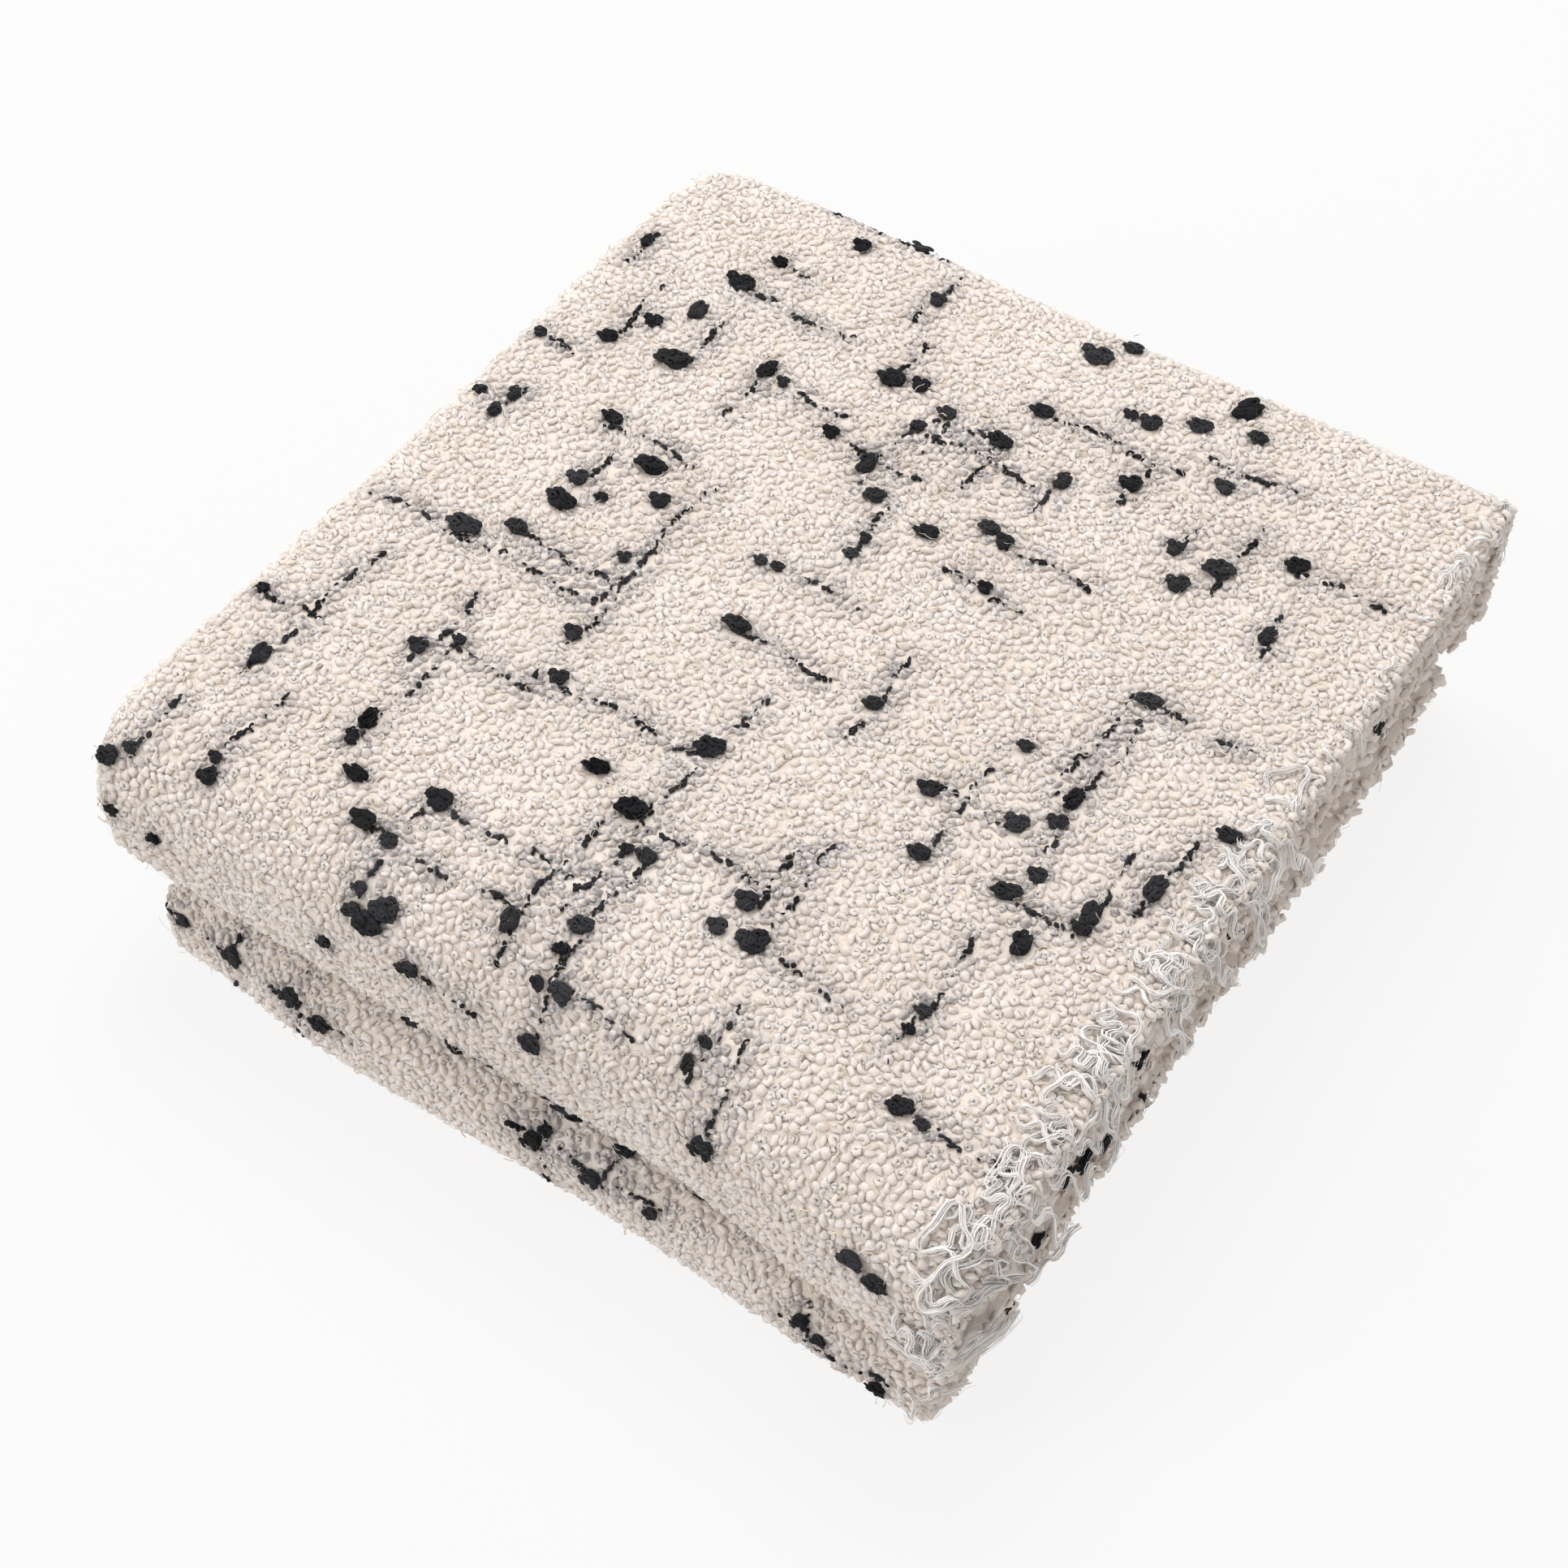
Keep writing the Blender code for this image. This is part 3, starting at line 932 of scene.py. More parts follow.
# %% Draft of the top face
RUNS_ACROSS = [  # (depth, from, to)
    (9.08, 1.6, 2.1), (8.5, 1.5, 3.0), (8.15, 8.55, 9.6), (9.05, 7.0, 8.2), (8.7, 5.3, 7.0),
    (8.0, 4.4, 5.2), (7.75, 4.3, 5.9), (7.5, 2.7, 3.6), (7.15, 3.6, 4.8), (6.85, 5.9, 7.0),
    (6.1, 1.5, 2.8), (6.25, 5.6, 6.6), (6.75, -0.1, 0.7), (5.4, 4.2, 5.2), (4.5, 4.3, 5.5),
    (4.38, 1.6, 2.9), (4.07, 0.0, 2.8), (3.05, 3.2, 5.0), (2.85, 2.1, 3.2), (2.4, 0.0, 0.8),
    (2.15, 4.9, 6.3), (1.3, 3.3, 5.0), (1.55, 6.6, 7.7), (0.72, 2.7, 4.6), (1.0, 8.7, 9.8),
    (0.3, 5.4, 6.4), (5.9, 8.1, 9.4), (3.95, 7.0, 8.1), (3.25, 8.1, 9.0), (-0.25, 3.8, 4.7),
]
RUNS_ALONG = [  # (place across, from, to)
    (3.38, 9.1, 10.0), (3.66, 8.2, 8.9), (6.6, 8.0, 8.7), (7.4, 7.7, 8.2), (8.0, 7.4, 8.5),
    (8.75, 7.0, 7.6), (2.45, 6.9, 7.7), (1.65, 7.2, 8.3), (0.75, 7.2, 8.2), (4.2, 6.8, 7.8),
    (4.5, 7.5, 8.1), (5.1, 7.3, 8.1), (5.95, 7.4, 8.0), (0.4, 5.6, 6.1), (1.8, 5.2, 5.9),
    (2.95, 4.0, 6.0), (3.05, 3.0, 4.6), (6.0, 4.0, 5.2), (8.0, 4.5, 6.0), (8.25, 3.9, 5.7),
    (7.35, 3.2, 4.5), (5.05, 3.2, 4.0), (5.0, 0.9, 3.0), (1.9, 2.2, 3.6), (2.13, 2.0, 2.9),
    (0.65, 1.5, 3.5), (1.15, 0.4, 1.6), (3.15, 0.1, 1.2), (4.65, 0.0, 2.0), (6.63, 1.6, 2.9),
    (6.4, 1.9, 2.8), (6.9, 0.2, 1.1), (8.3, 1.3, 2.8), (5.25, 0.3, 1.9), (9.35, 3.7, 4.8),
    (9.0, 3.2, 4.3), (4.68, 5.9, 6.7), (2.05, 1.4, 2.0), (7.2, -0.3, 0.8), (5.3, -0.3, 0.8),
    (0.15, 8.2, 8.8), (0.3, 0.2, 1.0),
]
# slubs: across, depth, size (s small, m middle, b big), and X or Y where clearly drawn out
SLUBS = """
2.18,9.79m 3.38,9.50m 5.55,10.03mX 5.28,9.72bX 7.05,9.82bY 7.34,9.53m 6.75,9.38mX 6.27,9.16m
6.04,9.14s 1.58,9.09m 1.41,8.59bX 5.25,8.66mX 7.38,8.75mX 3.66,8.20b 3.96,8.30m 4.43,8.08m
5.12,8.05mX 1.30,7.95mY 0.98,7.58m 5.94,7.92mY 6.54,8.29m 8.55,8.20m 7.37,7.77m 7.90,7.73b
7.63,7.38m 8.73,7.24mY 2.47,7.61mY 2.70,7.56s 4.28,7.77s 3.55,7.21m 1.53,7.19bX 0.72,7.12m
4.12,7.03mY 5.67,6.96m 5.89,6.90m 4.45,6.71m 5.18,6.58mX 6.06,6.28s 4.69,6.19s 4.69,5.94s
1.51,6.17mX 0.38,5.91sY 0.36,5.62sY 2.27,5.82bX 2.63,5.50m 1.72,5.31m 2.11,5.21s 1.79,4.96bX
2.80,4.69s 1.62,4.43m 1.17,4.17bX 3.98,5.38s 4.17,5.40s 4.28,4.55mX 5.97,4.45m 2.99,3.62m
4.99,3.17b 3.23,3.10m 1.81,2.69m 2.11,2.96s 4.24,2.41mX 4.81,2.18b 0.63,1.75mY 2.03,1.72mY
2.02,1.47sY 5.05,1.81s 5.25,1.83m 6.30,1.93m 6.60,1.61b 6.24,1.56m 3.21,1.33b 2.37,1.14mX
2.76,0.77mX 3.12,0.72s 5.22,0.90m 5.20,0.62s 1.09,0.60s 1.13,0.43m 4.62,0.62mY 6.85,0.55s
6.80,0.33sY 5.40,0.30m 5.15,0.28s 0.21,0.30s 0.00,0.12b 3.43,0.19b 3.31,-0.02b 3.10,0.23s
3.10,0.03m 3.82,-0.20mX 5.25,-0.23m 7.20,-0.23b 8.90,-0.20mX 9.20,-0.27mX 8.16,5.91mX 7.47,4.79s
8.18,4.50mY 8.19,4.20m 7.88,3.99m 6.98,3.88mX 8.35,3.58m 8.23,3.28mX 9.00,3.46mY 9.00,3.30m
7.32,3.21m 8.63,2.86mY 9.34,4.03bY 9.60,4.93mX 8.29,1.83sX 8.28,1.61s 8.64,1.01m 8.89,0.97s
0.05,6.80s 0.04,5.77s 0.05,2.43s 0.14,8.59sY 0.65,-0.45s 2.80,-0.47s 0.1,-0.40s
"""


def read_slubs(text):
    found = []
    for word in text.split():
        place = word.rstrip("smbXY")
        kind = word[len(place):]
        across, along = map(float, place.split(","))
        found.append((across, along, kind[0], kind[1:]))
    return found


TOP_SLUBS = read_slubs(SLUBS)
print(len(TOP_SLUBS), "slubs,", len(RUNS_ACROSS) + len(RUNS_ALONG), "runs on the top face")

# %% [markdown]
# A place in the draft becomes a place on the cloth by measuring along it: back from the fold over
# the cover, or round the fold and under along the flap.


# %% From the draft to the cloth
DOT_STEP = 0.0023              # from one dot of a thin run to the next


def station_at(half, along):
    """along: tenths of the depth, measured on the cloth, from the front."""
    run = along * TENTH_Y + FRONT
    fold_y, thick = half["fold_y"], half["thick"]
    corner_y = BACK + BACK_LOFT - SPINE_TURN
    if run < fold_y:
        arc_length = (fold_y - run) / (math.pi * thick / 2)
        if arc_length <= 1:
            return "fold", arc_length
        return "flap", min(1.0, (arc_length - 1) * math.pi * thick / 2 / (half["flap_end"] - fold_y))
    if run <= SEAM_Y:
        return "cover", (SEAM_Y - run) / (SEAM_Y - fold_y)
    if run <= corner_y:
        return "cover_back", (corner_y - run) / (corner_y - SEAM_Y)
    beyond = run - corner_y
    if beyond <= SPINE_TURN * math.pi / 2:
        return "corner", 1 - beyond / (SPINE_TURN * math.pi / 2)
    beyond -= SPINE_TURN * math.pi / 2
    return "spine", max(0.0, 1 - beyond / (thick - SPINE_TURN))


def across_chart(half):
    """Lookup from tenths across to (x, depth) on the outer face, measured on the cloth."""
    face = outer_columns(half)[:STEPS + TURN_STEPS - 2, :2]
    measured = np.concatenate([[0], np.cumsum(np.linalg.norm(np.diff(face, axis=0), axis=1))])
    tenths = (half["edge"] - LEFT - measured) / TENTH_X
    return tenths[::-1], face[::-1, 0], face[::-1, 1]


CHARTS = {"upper": across_chart(UPPER), "lower": across_chart(LOWER)}


def on_cloth(half, places):
    """Places (across, along) to points, normals, and the two directions of the weave."""
    step = 0.02
    tenths, chart_x, chart_depth = CHARTS[half["name"]]

    def points_at(shift_across, shift_along):
        found = []
        for across, along in places:
            reach = min(max(across, tenths[0] + step), tenths[-1] - step) + shift_across
            x, depth = np.interp(reach, tenths, chart_x), np.interp(reach, tenths, chart_depth)
            found.append(half_point(half, x, station_at(half, along + shift_along), depth)[0])
        return settle(found)

    here = points_at(0, 0)
    across_way = points_at(step, 0) - points_at(-step, 0)
    along_way = points_at(0, step) - points_at(0, -step)
    across_way /= np.maximum(np.linalg.norm(across_way, axis=1), 1e-9)[:, None]
    along_way /= np.maximum(np.linalg.norm(along_way, axis=1), 1e-9)[:, None]
    normal = np.cross(across_way, along_way) * half["up"]
    normal /= np.maximum(np.linalg.norm(normal, axis=1), 1e-9)[:, None]
    return here, normal, across_way, along_way


def run_places(across_runs, along_runs, rng):
    """Dots along the thin runs, a few millimetres apart, with gaps where the yarn dives."""
    dots = []
    for runs, turned in ((across_runs, False), (along_runs, True)):
        for fixed, first, last in runs:
            tenth = TENTH_Y if turned else TENTH_X
            count = max(2, int((last - first) * tenth / DOT_STEP))
            shown = 0.5 + 0.5 * np.sin(rng.uniform(0, 6.28) + np.arange(count) * rng.uniform(0.35, 0.8))
            wander = rng.uniform(0, 6.28)
            for i in range(count):
                if rng.random() > 0.35 + 0.6 * shown[i]:
                    continue
                t = first + (last - first) * (i + rng.uniform(-0.3, 0.3)) / count
                off = fixed + 0.04 * math.sin(wander + t * 5) + rng.normal(0, 0.015)
                dots.append((off, t, shown[i], True) if turned else (t, off, shown[i], False))
    return dots


# %% [markdown]
# The faces that are turned down or in carry the same yarns. Their drafts are drawn by chance, with
# fixed seeds: runs of one or two tenths, and a slub on most of them.


# %% Drafts of the other faces
def sown_draft(seed, along_from, along_to, share=1.0):
    rng = np.random.default_rng(seed)
    area = (along_to - along_from) / 10
    across_runs, along_runs, slubs = [], [], []
    for _ in range(int(34 * area * share)):
        along, start = rng.uniform(along_from, along_to), rng.uniform(0, 8.5)
        across_runs.append((along, start, min(start + rng.uniform(0.6, 1.9), 9.9)))
    for _ in range(int(44 * area * share)):
        across, start = rng.uniform(0.1, 9.8), rng.uniform(along_from, along_to - 0.3)
        along_runs.append((across, start, min(start + rng.uniform(0.5, 1.6), along_to)))
    for along, start, end in across_runs:
        for _ in range(rng.integers(0, 4)):
            slubs.append((rng.uniform(start, end), along, rng.choice(list("smmb")),
                          rng.choice(["X", "", "X"])))
    for across, start, end in along_runs:
        for _ in range(rng.integers(0, 3)):
            slubs.append((across, rng.uniform(start, end), rng.choice(list("smmb")),
                          rng.choice(["Y", ""])))
    return across_runs, along_runs, slubs


# %% [markdown]
# A slub is a place where the dark yarn was left thick and unspun, so it bulges like a small bud. It
# is modelled as a plump tube with curls that break out of its skin, and loose hairs lie round it.


# %% Slub shapes
def slub_shapes(seed, count=5, steps=9, sides=10, curls=11):
    """Plump ovals one unit long: a soft body with the curls that bulge from it."""
    rng = np.random.default_rng(seed)
    shapes = {}
    for n in range(count):
        t = np.linspace(-1, 1, steps)
        path = np.stack([0.31 * t, 0.07 * np.sin(2.5 * t + n), 0.05 + 0.06 * (1 - t ** 2)], axis=1)
        radii = 0.335 * np.sqrt(np.clip(1 - (0.96 * t) ** 2, 0.06, 1)) * rng.uniform(0.93, 1.08, steps)
        parts = [tube(path, radii, sides)]
        for _ in range(curls):
            turn, reach = rng.uniform(0, 2 * math.pi), rng.uniform(0.2, 1.0) ** 0.5
            radius = rng.uniform(0.09, 0.15)
            curl = arc(radius, radius * 0.7, rng.uniform(0.6, 1.2), 0, 0.06, 7, rng.uniform(0, 1.0))
            curl[:, 0] += 0.36 * math.cos(turn) * reach
            curl[:, 1] += 0.28 * math.sin(turn) * reach
            curl[:, 2] += 0.12 + 0.36 * math.sqrt(max(0.0, 1 - 0.8 * reach ** 2))
            parts.append(tube(curl, curl_radii(7, 0.085), 4))
        vertices, faces = join_shapes(parts)
        vertices[:, 2] *= 0.62
        shapes[f"slub{n}"] = (vertices, faces)
    return shapes


slub_family = shape_family("slubs", slub_shapes(11))
plain_slubs = shape_family("plain_slubs", slub_shapes(12, steps=6, sides=7, curls=3))
SLUB_LENGTH = {"s": 0.0078, "m": 0.0112, "b": 0.0148}


# %% [markdown]
# A draft gives places only. The shapes themselves are set by the placing tree, which reads a turn, a
# size, a shape number and a tone from each point, so those are stored on a cloud of points here.


# %% Points for the placing tree
def placed_points(name, points, turns, sizes, kinds, tones):
    mesh = bpy.data.meshes.new(name)
    mesh.from_pydata([tuple(map(float, p)) for p in points], [], [])
    for label, kind, values in (("turn", "FLOAT_VECTOR", turns), ("size", "FLOAT_VECTOR", sizes),
                                ("kind", "INT", kinds), ("tone", "FLOAT", tones)):
        layer = mesh.attributes.new(label, kind, "POINT")
        key = "vector" if kind == "FLOAT_VECTOR" else "value"
        layer.data.foreach_set(key, np.array(values).ravel())
    made = bpy.data.objects.new(name, mesh)
    bpy.context.collection.objects.link(made)
    return made


def frame_turn(normal, way, spin):
    """Euler turn that stands a shape on the cloth, its length along the yarn's way."""
    z = Vector(normal).normalized()
    x = Vector(way) - z * Vector(way).dot(z)
    x.normalize()
    y = z.cross(x)
    matrix = Matrix((x, y, z)).transposed() @ Matrix.Rotation(spin, 3, "Z")
    return tuple(matrix.to_euler())


# %% Slubs with their wisps
WISPS_EACH = 9
SLUB_RISE = 0.0095             # height of a slub one unit tall
SLUB_SET = 0.0006              # slubs stand this far off the ground weave
DOT_SET = 0.0011               # and dots this far
dark_points = {"upper": [], "lower": []}
clearings = {"upper": [], "lower": []}


def wisps_round(name, points, normals, ways, sizes, rng):
    """Loose dark hairs over and beside each slub."""
    places, turns, scales, kinds = [], [], [], []
    for p, n, a, size in zip(points, normals, ways, sizes):
        b = np.cross(n, a)
        for _ in range(WISPS_EACH):
            angle, reach = rng.uniform(0, 2 * math.pi), rng.uniform(0.15, 0.62) * size[0]
            places.append(p + reach * (math.cos(angle) * a + math.sin(angle) * b) + n * SLUB_SET)
            turns.append(frame_turn(n, a, rng.uniform(0, 6.28)))
            scales.append((0.6, 0.6, rng.uniform(0.5, 1.3)))
            kinds.append(rng.integers(0, 6))
    return placed_points(name, np.array(places), turns, scales, kinds,
                         rng.uniform(0, 1, len(places)))


def slub_points(name, half, slubs, rng):
    """Slubs and wisps of a draft. Notes where they lie, so that no nub grows through them."""
    points, normals, across_way, along_way = on_cloth(half, [s[:2] for s in slubs])
    turns, sizes = [], []
    for (_, _, size, drawn), n, a, b in zip(slubs, normals, across_way, along_way):
        length = SLUB_LENGTH[size] * rng.uniform(0.9, 1.12)
        slim = 0.74 if drawn else 0.95
        length *= 1.2 if drawn else 1.0
        turns.append(frame_turn(n, b if drawn == "Y" else a, rng.uniform(-0.35, 0.35)))
        sizes.append((length, length * slim, SLUB_RISE * (0.6 + 0.4 * length / 0.0105)))
    kinds, tones = rng.integers(0, 5, len(slubs)), rng.uniform(0, 1, len(slubs))
    dark_points[half["name"]] += [(p, 1.0) for p in points]
    for p, size, a, b in zip(points, sizes, across_way, along_way):
        clearings[half["name"]].append(p)
        for turn in np.arange(6) * math.pi / 3:
            reach = 0.26 * size[0]
            clearings[half["name"]].append(p + reach * (math.cos(turn) * a + math.sin(turn) * b))
    return [placed_points(name + "_slubs", points + normals * SLUB_SET, turns, sizes, kinds, tones),
            wisps_round(name + "_wisps", points, normals, across_way, sizes, rng)]


def dot_points(name, half, dots, rng):
    """The beaded lines of the thin runs."""
    points, normals, across_way, along_way = on_cloth(half, [d[:2] for d in dots])
    turns, sizes = [], []
    for (_, _, shown, turned), n, a, b in zip(dots, normals, across_way, along_way):
        turns.append(frame_turn(n, b if turned else a, rng.uniform(-0.9, 0.9)))
        size = (0.42 + 0.40 * shown) * rng.uniform(0.75, 1.1)
        sizes.append((size * 1.1, size * 0.8, size))
    kinds, tones = rng.integers(0, 8, len(dots)), rng.uniform(0, 1, len(dots))
    clearings[half["name"]] += [p for p, d in zip(points, dots) if d[2] > 0.8]
    dark_points[half["name"]] += [(p, 0.45 + 0.3 * d[2]) for p, d in zip(points, dots)]
    return [placed_points(name + "_dots", points + normals * DOT_SET, turns, sizes, kinds, tones)]


def dark_yarn_points(name, half, draft, seed, keep):
    """Slubs and dots of a draft on a half. keep chooses the stretch of cloth they belong to."""
    rng = np.random.default_rng(seed)
    across_runs, along_runs, slubs = draft
    slubs = [s for s in slubs if keep(s[1])]
    dots = [d for d in run_places(across_runs, along_runs, rng) if keep(d[1])]
    made = slub_points(name, half, slubs, rng) if slubs else []
    return made + (dot_points(name, half, dots, rng) if dots else [])


# %% [markdown]
# Every finished piece is laid on the floor, made to move with its half or, on the spine, left in place,
# and listed with the sheet of cloth that it grows on.


# %% Attach pile to cloth and body
FLOOR_GAP = 0.0008             # wool below this height is pressed almost flat
with_cloth = {"upper_cloth": [], "lower_cloth": [], "spine_upper_cloth": [], "spine_lower_cloth": []}


def flatten_at_floor(piece):
    """Press wool that would go through the floor back above it."""
    co = np.empty(len(piece.data.vertices) * 3)
    piece.data.vertices.foreach_get("co", co)
    co = co.reshape(-1, 3)
    low = co[:, 2] < FLOOR_GAP
    co[low, 2] = FLOOR_GAP + (co[low, 2] - FLOOR_GAP) * 0.12
    co[:, 2] = np.maximum(co[:, 2], 0.0002)
    piece.data.vertices.foreach_set("co", co.ravel())
    piece.data.update()


def attach(piece, half, on_spine):
    flatten_at_floor(piece)
    if on_spine:
        bend_with_spine(piece, half)
    else:
        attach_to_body(piece, f"{half['name']}_half")
    with_cloth[("spine_" if on_spine else "") + half["name"] + "_cloth"].append(piece)


# %% [markdown]
# At the raw edge the dark yarns come out between the layers, so a few slubs are set there one by one.


# %% Slubs at the raw edge
# tenths of the depth, height in mm, length in mm
SIDE_SLUBS = [(1.55, 104, 13), (1.9, 93, 16), (2.3, 82, 14), (1.2, 85, 9), (2.8, 110, 11),
              (3.2, 121, 9), (3.0, 70, 9), (7.4, 105, 8), (4.4, 112, 8), (0.7, 63, 9), (1.1, 40, 10),
              (3.9, 60, 9)]


def raw_edge_point(half, y, height):
    rise = half["up"] * (height - half["meet"])
    if rise > half["thick"] / 2:
        station = "cover", max(0.0, (SEAM_Y - y) / (SEAM_Y - half["fold_y"]))
        depth = half["thick"] - rise
    else:
        station = "flap", max(0.0, (y - half["fold_y"]) / (half["flap_end"] - half["fold_y"]))
        depth = rise
    return half_point(half, half["edge"] - 0.001, station, depth)[0]


def set_side_slubs():
    rng = np.random.default_rng(61)
    for half in (UPPER, LOWER):
        points, turns, sizes = [], [], []
        for along, height, length in SIDE_SLUBS:
            if (height / 1000 > MEET) != (half is UPPER):
                continue
            points.append(raw_edge_point(half, FRONT + along * TENTH_Y, height / 1000))
            turns.append(frame_turn((1, 0, 0), (0, 1, 0.5), rng.uniform(-0.5, 0.5)))
            sizes.append((length / 1000, 0.75 * length / 1000, 0.008))
        points = settle(points)
        kinds, tones = rng.integers(0, 5, len(points)), rng.uniform(0, 1, len(points))
        name = half["name"] + "_side_yarn"
        ways = np.tile((0.0, 1.0, 0.0), (len(points), 1))
        outward = np.tile((1.0, 0.0, 0.0), (len(points), 1))
        wisps = wisps_round(name + "_wisps", points, outward, ways, sizes, rng)
        slubs = placed_points(name + "_slubs", points, turns, sizes, kinds, tones)
        for source, family, paint in ((slubs, slub_family, charcoal), (wisps, hairs, ash)):
            piece = run_tree(source.name + "_wool", source, PLACE, Shapes=family, Material=paint)
            attach(piece, half, False)


# %% [markdown]
# The top draft is cut at the seam, so that its back part goes with the spine cloth. Every other face gets
# a draft of its own. Faces that are folded away get the plainer slubs, to keep the file light.


# %% Set all the dark yarns
UPPER_SEAM = (SEAM_Y - FRONT) / TENTH_Y
top_draft = (RUNS_ACROSS, RUNS_ALONG, TOP_SLUBS)
lower_fold_draft = (
    [(-0.4, 0.3, 1.6), (-0.35, 1.9, 3.0), (-0.5, 4.9, 6.8), (-0.2, 8.1, 9.3)],
    [(1.4, -0.9, 0.0), (2.3, -0.9, 0.1), (5.3, -0.9, 0.1), (6.05, -1.2, -0.3), (8.35, -0.7, 0.2)],
    read_slubs("0.7,-0.4s 1.4,-0.4m 2.2,-0.45m 2.6,-0.35m 5.2,-0.45m 5.3,-0.65s 5.9,-0.4m 6.1,-0.9m "
               "6.6,-0.45s 8.3,-0.35m 8.5,-0.25s 9.15,-0.15m 0.1,-0.6s"),
)


def anywhere(along):
    return True


# name, half, draft, seed, stretch it belongs to, whether it lies on the spine
YARN_JOBS = [
    ("upper_top_yarn", UPPER, top_draft, 21, lambda along: along <= UPPER_SEAM, False),
    ("upper_back_yarn", UPPER, top_draft, 22, lambda along: along > UPPER_SEAM, True),
    ("upper_spine_yarn", UPPER, sown_draft(31, 10.2, 11.5), 23, anywhere, True),
    ("upper_flap_yarn", UPPER, sown_draft(32, -10.0, -1.0, 0.8), 24, anywhere, False),
    ("lower_fold_yarn", LOWER, lower_fold_draft, 25, anywhere, False),
    ("lower_cover_yarn", LOWER, sown_draft(33, 1.2, UPPER_SEAM, 0.8), 26, anywhere, False),
    ("lower_spine_yarn", LOWER, sown_draft(34, UPPER_SEAM, 11.3), 27, anywhere, True),
    ("lower_flap_yarn", LOWER, sown_draft(35, -10.0, -1.0, 0.8), 28, anywhere, False),
]
FOLDED_AWAY = ("upper_flap_yarn", "lower_flap_yarn", "lower_cover_yarn")
FULL = {"slubs": slub_family, "dots": fine_curls, "wisps": hairs}
PLAIN = {"slubs": plain_slubs, "dots": plain_curls}     # and no wisps

for name, half, draft, seed, keep, on_spine in YARN_JOBS:
    families = PLAIN if name in FOLDED_AWAY else FULL
    for source in dark_yarn_points(name, half, draft, seed, keep):
        label = source.name
        kind = label.rsplit("_", 1)[1]
        if kind not in families:
            bpy.data.objects.remove(source)
            continue
        piece = run_tree(label + "_wool", source, PLACE, Shapes=families[kind],
                         Material=ash if kind == "wisps" else charcoal)
        attach(piece, half, on_spine)
set_side_slubs()
print("dark places:", {k: len(v) for k, v in dark_points.items()})


# %% [markdown]
# Dark fibres stray from their yarn and lie among the cream ones. Close to a slub the nubs look grey
# for that reason, so each skin stores how near the dark yarns are, and the wool's colour reads it.


# %% Haze near the dark yarns
HAZE_REACH = 0.0060
AT_ONCE = 500                  # points compared in one go, to spare memory


def add_haze(skin, half):
    """Grey haze, stored on the skin's points for the nubs to pick up."""
    co = np.array([v.co for v in skin.data.vertices])
    dark = dark_points[half["name"]]
    haze = np.zeros(len(co))
    if dark:
        places = np.array([p for p, _ in dark])
        force = np.array([f for _, f in dark])
        for start in range(0, len(co), AT_ONCE):
            part = co[start:start + AT_ONCE]
            away = np.linalg.norm(part[:, None, :] - places[None], axis=2)
            left_clean = 1 - 0.85 * force * np.exp(-(away / HAZE_REACH) ** 2)
            haze[start:start + AT_ONCE] = 1 - np.prod(left_clean, axis=1)
    layer = skin.data.attributes.new("haze", "FLOAT", "POINT")
    layer.data.foreach_set("value", np.clip(haze, 0, 1))


# %% [markdown]
# ## Growing the pile
#
# The faces that show at rest get the fine curls, close together. The faces that are folded away or
# lie on the floor get simpler, slightly larger ones.

# %% Grow the pile
seeds = itertools.count(101)
CLEAR = {name: add_mesh(name + "_clearings", spots, []) for name, spots in clearings.items()}


def grow(name, half, places, columns, on_spine, shapes, spacing, low, high,
         hair_spacing=0.0, thread_spacing=0.0):
    """Nubs, and where asked hairs and threads, on one face."""
    for part, family, gap, smallest, largest, paint in (
        ("nubs", shapes, spacing, low, high, cream),
        ("hairs", hairs, hair_spacing, 0.5, 1.05, pale),
        ("threads", threads, thread_spacing, 0.5, 0.95, sandy),
    ):
        if not gap:
            continue
        skin = make_skin(name + "_skin", half, places, columns)
        add_haze(skin, half)
        piece = run_tree(f"{name}_{part}", skin, GROW, Shapes=family, Spacing=gap, Smallest=smallest,
                         Largest=largest, Lean=0.35, Seed=next(seeds), Material=paint,
                         **{"Clear Round": CLEAR[half["name"]], "Clearance": 0.0020})
        attach(piece, half, on_spine)
        print(piece.name, triangles(piece))


def fine_stations(segment, first, last, count):
    return [(segment, first + (last - first) * i / count) for i in range(count + 1)]


FINE = dict(shapes=fine_curls, spacing=0.0034, low=1.0, high=1.40)
MEDIUM = dict(shapes=plain_curls, spacing=0.0052, low=1.3, high=1.8)
COARSE = dict(shapes=plain_curls, spacing=0.0078, low=1.9, high=2.5)
WITH_HAIRS = dict(hair_spacing=0.0098, thread_spacing=0.0112, **FINE)
upper_face = outer_columns(UPPER)
lower_face = outer_columns(LOWER)
for i, (first, last) in enumerate(((0.0, 0.34), (0.34, 0.67), (0.67, 1.0))):
    grow(f"upper_cover_{i}", UPPER, fine_stations("cover", first, last, 20), upper_face, False,
         **WITH_HAIRS)
